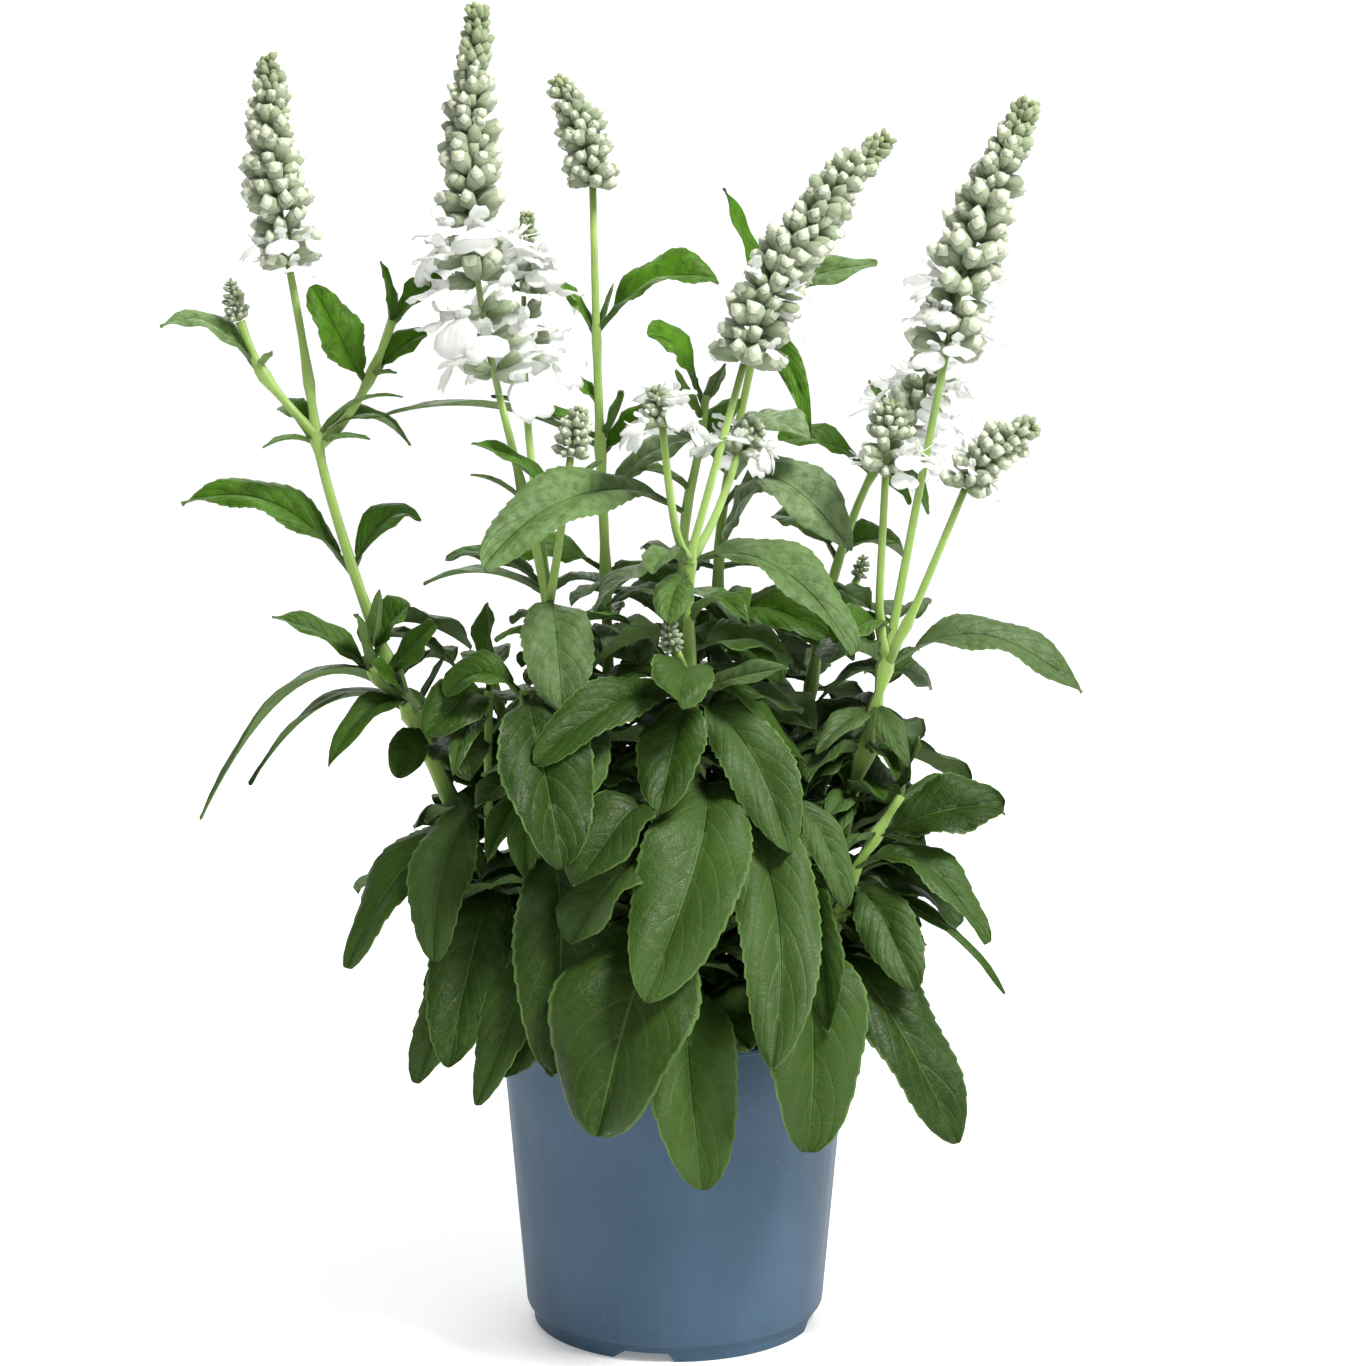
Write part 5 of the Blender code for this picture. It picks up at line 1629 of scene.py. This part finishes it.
class Florets:
    """The patterns that spikes are made of, in millimetres, each standing along +Z."""

    closed_profile = ((0.0, 0.0), (0.17, 0.18), (0.27, 0.52), (0.21, 0.86), (0.0, 1.02))
    calyx_profile = ((0.0, 0.0), (0.17, 0.18), (0.27, 0.52), (0.28, 0.84), (0.18, 0.88))
    corolla_profile = ((0.17, 0.80), (0.20, 0.96), (0.0, 1.10))
    cup_profile = ((0.0, 0.0), (1.1, 1.4), (1.9, 4.6), (2.2, 7.4), (1.6, 8.0), (0.0, 6.6))
    tube_profile = ((1.1, 6.0), (1.3, 9.0), (1.9, 12.4), (1.0, 11.8), (0.0, 11.2))
    mouth = 11.2
    bud_sides = 6
    tube_sides = 6
    cup_sides = 7

    def __init__(self) -> None:
        """Make the patterns."""
        closed = ((self.closed_profile, CALYX_SLOT),)
        opening = ((self.calyx_profile, CALYX_SLOT), (self.corolla_profile, BUD_SLOT))
        self.closed = [self.bud("closed_bud", closed, seed) for seed in range(3)]
        self.buds = [self.bud("bud", opening, seed) for seed in range(4)]
        self.flowers = [self.flower(phase, lower, upper) for phase, lower, upper in (
            (0.0, PetalMaker(10.6, 13.8, 0.75, 0.6, 0.14), PetalMaker(5.0, 5.2, -0.45, 0.2, 0.05)),
            (1.7, PetalMaker(9.4, 12.6, 0.45, 0.8, 0.18), PetalMaker(4.6, 5.0, -0.7, 0.3, 0.08)),
            (3.4, PetalMaker(11.4, 13.0, 0.95, 0.5, 0.10), PetalMaker(5.2, 4.8, -0.3, 0.3, 0.02)),
            (5.0, PetalMaker(9.8, 14.4, 0.25, 0.7, 0.16), PetalMaker(4.8, 5.4, -0.9, 0.3, 0.05)))]
        self.style = pattern_of([self.thread(0.0), self.thread(0.7)], "style")

    def bud(self, name: str, profiles: Sequence[tuple], seed: int) -> bpy.types.Mesh:
        """A bud from its profiles and their slots, with dents of its own."""
        return pattern_of([self.dented(spun(profile, self.bud_sides, slot), seed)
                           for profile, slot in profiles], name)

    @staticmethod
    def dented(solid: bmesh.types.BMesh, seed: int) -> bmesh.types.BMesh:
        """Give a bud an uneven mouth with three lobes, and soft dents.

        Args:
            solid: The bud.
            seed: Chooses its dents.

        Returns:
            The same bud.
        """
        for vert in solid.verts:
            x, y, z = vert.co
            turn = math.atan2(y, x)
            lobe = math.cos(3.0 * turn + seed) * min(1.0, 1.5 * z)
            vert.co.z += 0.09 * lobe
            dent = noise.noise(Vector((3.0 * x, 3.0 * y, 3.0 * z + 7.0 * seed)))
            swell = 1.0 + 0.30 * dent + 0.10 * lobe
            vert.co.x, vert.co.y = x * swell + 0.04 * z, y * swell
        return solid

    def flower(self, phase: float, lower: PetalMaker, upper: PetalMaker) -> bpy.types.Mesh:
        """An open two-lipped flower in its calyx."""
        return pattern_of([spun(self.cup_profile, self.cup_sides, CALYX_SLOT),
                           spun(self.tube_profile, self.tube_sides, PETAL_SLOT),
                           lower.make(Vector((-1.0, 0.0, self.mouth)), phase),
                           upper.make(Vector((1.0, 0.0, self.mouth)), phase + 1.0)], "open_flower")

    @staticmethod
    def thread(lean: float) -> bmesh.types.BMesh:
        """A thin curved style that runs out of the mouth of a flower."""
        course = [Vector((0.6 + 0.020 * s * s, lean * 0.12 * s, 11.0 + s)) for s in (0.0, 3.0, 6.5, 10.0)]
        solid = rod_solid(course, (0.22, 0.2, 0.17, 0.12), 4)
        scaled(solid, 1.0 / MM)
        uv = solid.loops.layers.uv.new(MAP)
        for face in solid.faces:
            face.material_index = PETAL_SLOT
            for loop in face.loops:
                loop[uv].uv = (0.9, 0.5)
        return solid


def aimed(place: Vector, ahead: Vector, upper: Vector, size: Sequence[float]) -> Matrix:
    """The placement that turns +Z ahead and +X to the upper side.

    Args:
        place: Where the pattern's foot stands.
        ahead: Direction of its length.
        upper: Direction that its upper side faces.
        size: Its scale along its own X, Y and Z.

    Returns:
        The placement.
    """
    z_axis = ahead.normalized()
    x_axis = (upper - z_axis * upper.dot(z_axis)).normalized()
    y_axis = z_axis.cross(x_axis)
    turn = Matrix((x_axis, y_axis, z_axis)).transposed().to_4x4()
    return Matrix.Translation(place) @ turn @ Matrix.Diagonal((*size, 1.0))


@dataclass(frozen=True)
class Bloom:
    """How far a spike is in flower.

    share is the part of its length with open flowers, chance that of a flower being open there, size
    the flowers' scale, styles the chance of a style, bare the length without buds at its foot, and
    spread how much further apart its open whorls are, both in millimetres. full widens its buds, and
    from the share closed upwards no white shows in them.
    """

    share: float = 0.0
    chance: float = 0.0
    size: float = 1.0
    styles: float = 0.0
    bare: float = 1.0
    spread: float = 0.0
    full: float = 1.0
    closed: float = 0.84


BLOOMS = {
    "spike_left": Bloom(0.30, 0.30, 0.80, 0.1, spread=1.0),
    "spike_left_side": Bloom(closed=0.3),
    "spike_centre_left": Bloom(0.50, 0.80, 1.22, 0.1, 7.5, 5.0, 1.15),
    "spike_centre_left_second": Bloom(0.80, 0.62, 1.06, 0.1, 10.0, 5.0),
    "spike_centre_left_third": Bloom(),
    "spike_back_tall": Bloom(full=1.1),
    "spike_front": Bloom(0.38, 0.28, 0.90, 0.5, 2.0, 1.0, 1.12),
    "spike_front_west": Bloom(0.8, 0.45, 0.75, 0.0, full=1.1),
    "spike_front_east": Bloom(0.7, 0.5, 0.75, 0.1),
    "spike_front_low": Bloom(closed=0.0),
    "spike_right": Bloom(0.42, 0.32, 0.95, 0.5, 2.0, 1.5, 1.16),
    "spike_right_west": Bloom(0.6, 0.32, 0.85, 0.3, 1.0, 1.0, 1.15),
    "spike_right_east": Bloom(0.5, 0.22, 0.65, 0.2, full=1.1),
    "spike_back_right": Bloom(0.9, 0.70, 1.15, 0.2, 1.0, 3.0),
    "spike_back_right_low": Bloom(closed=0.0),
}


@dataclass
class FlowerSpike:
    """A flower spike: an axis with whorls of felted buds, open flowers in its lowest whorls.

    Whorls stand step and step_share of their reach apart. rise is the angle of the buds at the foot
    and what the top adds to it, scatter how far one may be off that, both in degrees. crowd is the
    room of a bud as a share of its length, loose_crowd the same in a loose whorl of open flowers,
    of spikes whose whorls spread by more than loose_from.
    """

    spike: Spike
    course: list[Vector]
    florets: Florets
    step: float = 0.8
    step_share: float = 0.34
    rise: tuple = (12.0, 34.0)
    scatter: float = 14.0
    crowd: float = 0.46
    loose_crowd: float = 0.62
    loose_from: float = 4.0
    cap: float = 0.26
    axis_radius: float = 0.7

    def along(self, share: float) -> tuple[Vector, Vector]:
        """Place and direction of the axis at a share of its length."""
        spans = len(self.course) - 1
        step = min(int(share * spans), spans - 1)
        start, end = self.course[step], self.course[step + 1]
        return start.lerp(end, share * spans - step), (end - start).normalized()

    def build(self, finishes: Sequence[bpy.types.Material]) -> bpy.types.Object:
        """Build the spike's piece.

        Args:
            finishes: Materials of axis, calyx, closed corolla and open petals.

        Returns:
            The finished object, which replaces the spike's node.
        """
        spike = self.spike
        piece = Piece("fine_" + spike.name, finishes)
        dice = random.Random(spike.name)
        piece.add(RodMaker(sides=8).make(rounded(self.course, 1), TIP_RADIUS, 0.5))
        length = sum((end - start).length for start, end in zip(self.course, self.course[1:]))
        bloom = BLOOMS[spike.name]
        distance = bloom.bare
        turn = dice.uniform(0.0, math.pi)
        while distance < length - 1.2:
            share = distance / length
            reach = bloom.full * spike.radius * (1.0 - SPIKE_TAPER * share ** TAPER_POWER)
            self.whorl(piece, dice, share, reach, turn)
            turn += 0.5 + dice.uniform(-0.15, 0.15)
            distance += self.step + self.step_share * reach
            if share < bloom.share:
                distance += bloom.spread * clamped(2.6 - 3.2 * share / bloom.share)
        centre, ahead = self.along(1.0)
        size = self.cap * spike.radius
        place = aimed(centre - ahead * (0.8 * size), ahead, Vector((1.0, 0.0, 0.0)), (size, size, size))
        piece.stamp(self.florets.closed[0], place, 0.6, 0.0)
        return piece.finish(Slot.FLOWER, spike.name)

    def whorl(self, piece: Piece, dice: random.Random, share: float, reach: float, turn: float) -> None:
        """Add one whorl of buds and flowers.

        Args:
            piece: The piece that gets them.
            dice: Chooses where flowers are open.
            share: Place of the whorl along the axis.
            reach: Its radius.
            turn: Its turn about the axis, in radians.
        """
        bloom = BLOOMS[self.spike.name]
        centre, ahead = self.along(share)
        side = ahead.orthogonal().normalized()
        rise = math.radians(self.rise[0] + self.rise[1] * share ** 1.5)
        length = (reach - 0.8) / math.cos(rise)
        in_flower = share < bloom.share
        chance = bloom.chance * (1.12 - 0.7 * (share / bloom.share) ** 2) if in_flower else 0.0
        crowd = self.loose_crowd if in_flower and bloom.spread > self.loose_from else self.crowd
        count = max(5, round(2.0 * math.pi * 0.62 * reach / (crowd * length)))
        for index in range(count):
            angle = turn + 2.0 * math.pi * (index + dice.uniform(-0.22, 0.22)) / count
            out = Quaternion(ahead, angle) @ side
            lean = rise + math.radians(dice.uniform(-self.scatter, self.scatter))
            direction = out * math.cos(lean) + ahead * math.sin(lean)
            place = centre + out * self.axis_radius + ahead * dice.uniform(-0.09, 0.09) * reach
            tone, age = dice.random(), min(1.0, 1.2 - share)
            size = 0.9 * length * dice.uniform(0.76, 1.1)
            spot = aimed(place, direction, ahead, (size, size, size))
            if in_flower and dice.random() < chance:
                size = bloom.size * dice.uniform(0.82, 1.1)
                upper = ahead + Vector((0.0, 0.0, 0.4))
                flat = out * math.cos(0.25) + ahead * math.sin(dice.uniform(-0.25, 0.4))
                spot = aimed(place, flat, upper, (size, size, size))
                piece.stamp(dice.choice(self.florets.flowers), spot, tone, age)
                if dice.random() < bloom.styles:
                    piece.stamp(self.florets.style, spot, tone, age)
            elif share > bloom.closed or (share > 0.6 and dice.random() < 0.3):
                piece.stamp(dice.choice(self.florets.closed), spot, tone, age)
            else:
                piece.stamp(dice.choice(self.florets.buds), spot, tone, age)


@dataclass
class NurseryPot:
    """The round pot: thin tapered wall, small rolled lip, inset foot ring with notches, raised floor."""

    steps: int = 144
    foot_radius: float = 52.0
    floor: float = 5.0
    pad_radius: float = 12.0
    notch_turn: float = 258.0
    notch_half: float = 9.5
    notch_height: float = 3.0
    notch_slope: float = 1.6
    drain_circle: float = 34.0
    drain_radius: float = 4.0
    drains: int = 5
    crease: float = 35.0

    def wall_radius(self, height: float) -> float:
        """Outer radius of the wall at a height above the step."""
        share = (height - POT_STEP_HEIGHT) / (POT_HEIGHT - POT_STEP_HEIGHT)
        return POT_STEP_RADIUS + (POT_RIM_RADIUS - 0.5 * POT_LIP - POT_STEP_RADIUS) * share

    def profile(self) -> list[tuple[float, float]]:
        """(radius, height) from the middle of the floor over the rim to the middle underneath."""
        under = POT_HEIGHT - POT_LIP
        inner = self.wall_radius(under) - POT_WALL
        rounding = 1.6
        return [
            (0.0, self.floor + POT_WALL),
            (self.foot_radius - POT_WALL - 2.0, self.floor + POT_WALL),
            (self.wall_radius(8.0) - POT_WALL, POT_STEP_HEIGHT + POT_WALL + 0.8),
            (inner, under),
            (inner + 0.4, POT_HEIGHT - 0.4),
            (inner + 0.8, POT_HEIGHT),
            (POT_RIM_RADIUS - 0.5, POT_HEIGHT),
            (POT_RIM_RADIUS, POT_HEIGHT - 0.5),
            (POT_RIM_RADIUS, under + 0.3),
            (POT_RIM_RADIUS - 0.4, under - 0.1),
            (self.wall_radius(under), under - 0.4),
            (self.wall_radius(60.0), 60.0),
            (self.wall_radius(12.0), 12.0),
            (POT_STEP_RADIUS + 0.15, POT_STEP_HEIGHT + rounding),
            (POT_STEP_RADIUS - 0.35, POT_STEP_HEIGHT + 0.45),
            (POT_STEP_RADIUS - 1.3, POT_STEP_HEIGHT - 0.15),
            (self.foot_radius + 0.3, POT_STEP_HEIGHT - 0.7),
            (self.foot_radius, POT_STEP_HEIGHT - 1.4),
            (self.foot_radius, 0.5),
            (self.foot_radius - 0.3, 0.0),
            (self.foot_radius - POT_WALL + 0.3, 0.0),
            (self.foot_radius - POT_WALL, 0.5),
            (self.foot_radius - POT_WALL, self.floor),
            (self.drain_circle + 6.0, self.floor),
            (self.drain_circle - 6.0, self.floor),
            (self.pad_radius + 0.5, self.floor),
            (self.pad_radius, self.floor - 0.5),
            (self.pad_radius, 0.4),
            (self.pad_radius - 0.4, 0.0),
            (0.0, 0.0)]

    def notched(self, turn: float, radius: float) -> float:
        """How far a place on the foot ring lies in a notch, from 0 to 1."""
        depth = 0.0
        for index in range(4):
            middle = math.radians(self.notch_turn + 90.0 * index)
            away = abs((turn - middle + math.pi) % (2.0 * math.pi) - math.pi) * radius
            depth = max(depth, clamped((self.notch_half - away) / self.notch_slope + 0.5))
        return depth

    def build(self, finish: bpy.types.Material) -> bpy.types.Object:
        """Build the pot's piece, which replaces its node."""
        solid = spun(self.profile(), self.steps, 0)
        scaled(solid, MM)
        for vert in solid.verts:
            x, y, z = vert.co / MM
            radius = math.hypot(x, y)
            if radius > self.foot_radius - 2.0 * POT_WALL and z < 1.0:
                lift = self.notch_height * self.notched(math.atan2(y, x), radius)
                vert.co.z = (z + lift) * MM
        numbered(solid)
        piece = Piece("fine_pot", [finish])
        piece.add(solid)
        made = piece.finish(Slot.POT, "pot")
        self.drill(made)
        return made

    def drill(self, pot: bpy.types.Object) -> None:
        """Cut the drain holes through the floor."""
        cutter = bmesh.new()
        for index in range(self.drains):
            turn = 2.0 * math.pi * (index + 0.5) / self.drains
            made = bmesh.ops.create_cone(cutter, cap_ends=True, segments=20, radius1=self.drain_radius * MM,
                                         radius2=self.drain_radius * MM, depth=6.0 * MM)
            place = Vector((self.drain_circle * math.cos(turn), self.drain_circle * math.sin(turn),
                            self.floor + 0.5))
            bmesh.ops.translate(cutter, verts=made["verts"], vec=place * MM)
        mesh = bpy.data.meshes.new("drains")
        cutter.to_mesh(mesh)
        cutter.free()
        tool = linked("drains", mesh)
        cut = pot.modifiers.new("drains", "BOOLEAN")
        cut.operation = "DIFFERENCE"
        cut.object = tool
        graph = bpy.context.evaluated_depsgraph_get()
        drilled = bpy.data.meshes.new_from_object(pot.evaluated_get(graph))
        pot.modifiers.clear()
        old, pot.data = pot.data, drilled
        bpy.data.meshes.remove(old)
        bpy.data.objects.remove(tool)
        with_angle(pot.data, self.crease)


def with_angle(mesh: bpy.types.Mesh, degrees: float) -> None:
    """Shade a mesh smooth but for edges that turn by more than an angle."""
    solid = bmesh.new()
    solid.from_mesh(mesh)
    for face in solid.faces:
        face.smooth = True
    for edge in solid.edges:
        edge.smooth = len(edge.link_faces) == 2 and edge.calc_face_angle(0.0) < math.radians(degrees)
    solid.to_mesh(mesh)
    solid.free()


@dataclass
class RootBall:
    """The peat that fills the pot, with crumbs, bark chips and mineral grains on top.

    Chips whose tone is over grain_tone are pale grains, which are rounder and smaller.
    """

    rings: int = 46
    steps: int = 96
    chips: int = 340
    relief: float = 1.6
    grain_tone: float = 0.86
    seed: int = 5

    def build(self, pot: NurseryPot, finishes: Sequence[bpy.types.Material]) -> bpy.types.Object:
        """Build the soil's piece, which replaces its node.

        Args:
            pot: The pot that it fills.
            finishes: Materials of peat and of chips.

        Returns:
            The finished object.
        """
        top = pot.wall_radius(SOIL_TOP) - POT_WALL - CLEAR
        low = pot.wall_radius(8.0) - POT_WALL - CLEAR
        profile = [(0.0, pot.floor + POT_WALL + CLEAR), (low - 3.0, pot.floor + POT_WALL + CLEAR),
                   (low, 8.5), (top, SOIL_TOP - 1.8)]
        profile += [(top * (1.0 - ring / self.rings), SOIL_TOP) for ring in range(self.rings + 1)]
        solid = spun(profile, self.steps, 0)
        for vert in solid.verts:
            if vert.co.z > SOIL_TOP - 0.5:
                x, y, _ = vert.co
                heap = noise.noise(Vector((x, y, 3.0)) / 9.0) + 0.6 * noise.noise(Vector((x, y, 9.0)) / 3.5)
                edge = min(1.0, (top - math.hypot(x, y)) / 3.0)
                vert.co.z += self.relief * (heap * edge - 0.5)
        scaled(solid, MM)
        numbered(solid)
        piece = Piece("fine_soil", finishes)
        piece.add(solid)
        self.scatter(piece, top)
        return piece.finish(Slot.SOIL, "soil")

    def scatter(self, piece: Piece, top: float) -> None:
        """Strew the chips and grains over the surface."""
        dice = random.Random(self.seed)
        chip = bmesh.new()
        bmesh.ops.create_icosphere(chip, subdivisions=1, radius=1.0)
        for vert in chip.verts:
            vert.co *= 1.0 + 0.35 * noise.noise(vert.co * 2.3)
        for face in chip.faces:
            face.material_index = 1
        pattern = pattern_of([chip], "chip")
        for _ in range(self.chips):
            radius = (top - 3.0) * math.sqrt(dice.random())
            turn = dice.uniform(0.0, 2.0 * math.pi)
            tone = dice.random()
            grain = tone > self.grain_tone
            size = dice.uniform(0.6, 1.1) if grain else dice.uniform(0.8, 2.6)
            ahead = Vector((dice.uniform(-1, 1), dice.uniform(-1, 1), dice.uniform(-0.4, 0.4)))
            place = Vector((radius * math.cos(turn), radius * math.sin(turn), SOIL_TOP - 0.4))
            flat = 1.0 if grain else dice.uniform(0.3, 0.6)
            spot = aimed(place, ahead, UP, (size * flat, size * dice.uniform(0.6, 1.0), size * 1.2))
            piece.stamp(pattern, spot, tone, 0.5)


@dataclass(frozen=True)
class Lamp:
    """A square soft light aimed at the middle of the plant: place and size in metres, power in watts."""

    name: str
    place: tuple[float, float, float]
    size: float
    power: float
    colour: Colour
    target: tuple[float, float, float] = (0.0, 0.0, 0.24)

    def light(self) -> None:
        """Hang the light."""
        light = bpy.data.lights.new(self.name, "AREA")
        light.size = self.size
        light.energy = self.power
        light.color = self.colour
        made = linked(self.name, light)
        made.location = self.place
        aim = Vector(self.target) - Vector(self.place)
        made.rotation_euler = aim.to_track_quat("-Z", "Y").to_euler()


LAMPS = (
    Lamp("key", (0.75, -0.7, 1.65), 0.5, 50.0, (1.0, 0.99, 0.97)),
    Lamp("fill", (1.5, -1.2, 0.8), 1.5, 7.0, (0.98, 0.99, 1.0)),
    Lamp("back", (-0.4, 1.2, 1.6), 1.2, 24.0, (1.0, 1.0, 0.97)),
)


@dataclass
class Studio:
    """The pale floor and wall, the soft lights and the camera, in metres and degrees."""

    depth: float = 2.2
    bend: float = 0.8
    span: float = 5.0
    lens: float = 81.5
    sensor: float = 36.0
    eye: tuple = (0.003, -1.1, 0.40)
    down: float = 8.5
    surround: float = 0.36

    def build(self) -> None:
        """Set up the floor, the lights, the world and the camera."""
        self.floor()
        self.world()
        for lamp in LAMPS:
            lamp.light()
        camera = bpy.data.cameras.new("camera")
        camera.lens = self.lens
        camera.sensor_width = self.sensor
        camera.clip_start = 0.01
        viewer = linked("camera", camera)
        viewer.location = self.eye
        viewer.rotation_euler = (math.radians(90.0 - self.down), 0.0, 0.0)
        bpy.context.scene.camera = viewer
        bpy.context.scene.view_settings.view_transform = "Standard"

    def floor(self) -> None:
        """A floor that bends up into a wall, both of pale paper."""
        solid = bmesh.new()
        bmesh.ops.create_grid(solid, x_segments=1, y_segments=48, size=0.5)
        arc = 0.5 * math.pi * self.bend
        flat = 2.0 * self.depth
        total = flat + arc + 2.0
        for vert in solid.verts:
            run = (vert.co.y + 0.5) * total
            if run < flat:
                y, z = run - self.depth, 0.0
            elif run < flat + arc:
                angle = (run - flat) / self.bend
                y = flat - self.depth + self.bend * math.sin(angle)
                z = self.bend * (1.0 - math.cos(angle))
            else:
                y, z = flat - self.depth + self.bend, self.bend + run - flat - arc
            vert.co = Vector((vert.co.x * 2.0 * self.span, y, z))
        mesh = bpy.data.meshes.new("floor")
        for face in solid.faces:
            face.smooth = True
        solid.to_mesh(mesh)
        solid.free()
        mesh.materials.append(BackdropFinish().make())
        made = linked("floor", mesh)

    def world(self) -> None:
        """An even white surround."""
        world = bpy.data.worlds.new("studio")
        world.use_nodes = True
        background = world.node_tree.nodes["Background"]
        background.inputs["Color"].default_value = (1.0, 1.0, 1.0, 1.0)
        background.inputs["Strength"].default_value = self.surround
        bpy.context.scene.world = world


def main() -> None:
    """Build the pot, the soil and the plant in their frame, then the studio round them."""
    logging.basicConfig(level=logging.INFO, format="%(name)s %(message)s")
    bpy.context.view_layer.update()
    layout = Layout()
    LOG.info("leaves of the solids: %d", sum(len(blades) for blades in layout.blades.values()))
    LOG.info("fine leaves added: %d", Undergrowth().grow(layout))
    low_leaves = Undergrowth(seed=31, low=112.0, high=214.0, pitch=16.0, longest=46.0, shortest=30.0)
    LOG.info("low fine leaves added: %d", low_leaves.grow(layout))
    pot = NurseryPot()
    pot.build(PlasticFinish().make())
    RootBall().build(pot, [SoilFinish().make(), ChipFinish().make()])
    greens = [finish.value.make() for finish in Green]
    for stem in STEMS:
        LeafyStem(stem).build(layout, greens)
    whites = [finish.value.make() for finish in White]
    florets = Florets()
    for grown in layout.axes:
        if grown.axis.spike:
            course = spike_course(grown.course[-1], grown.direction(), grown.axis.spike, 8)
            FlowerSpike(grown.axis.spike, course, florets).build(whites)
    Studio().build()


if __name__ == "__main__":
    main()
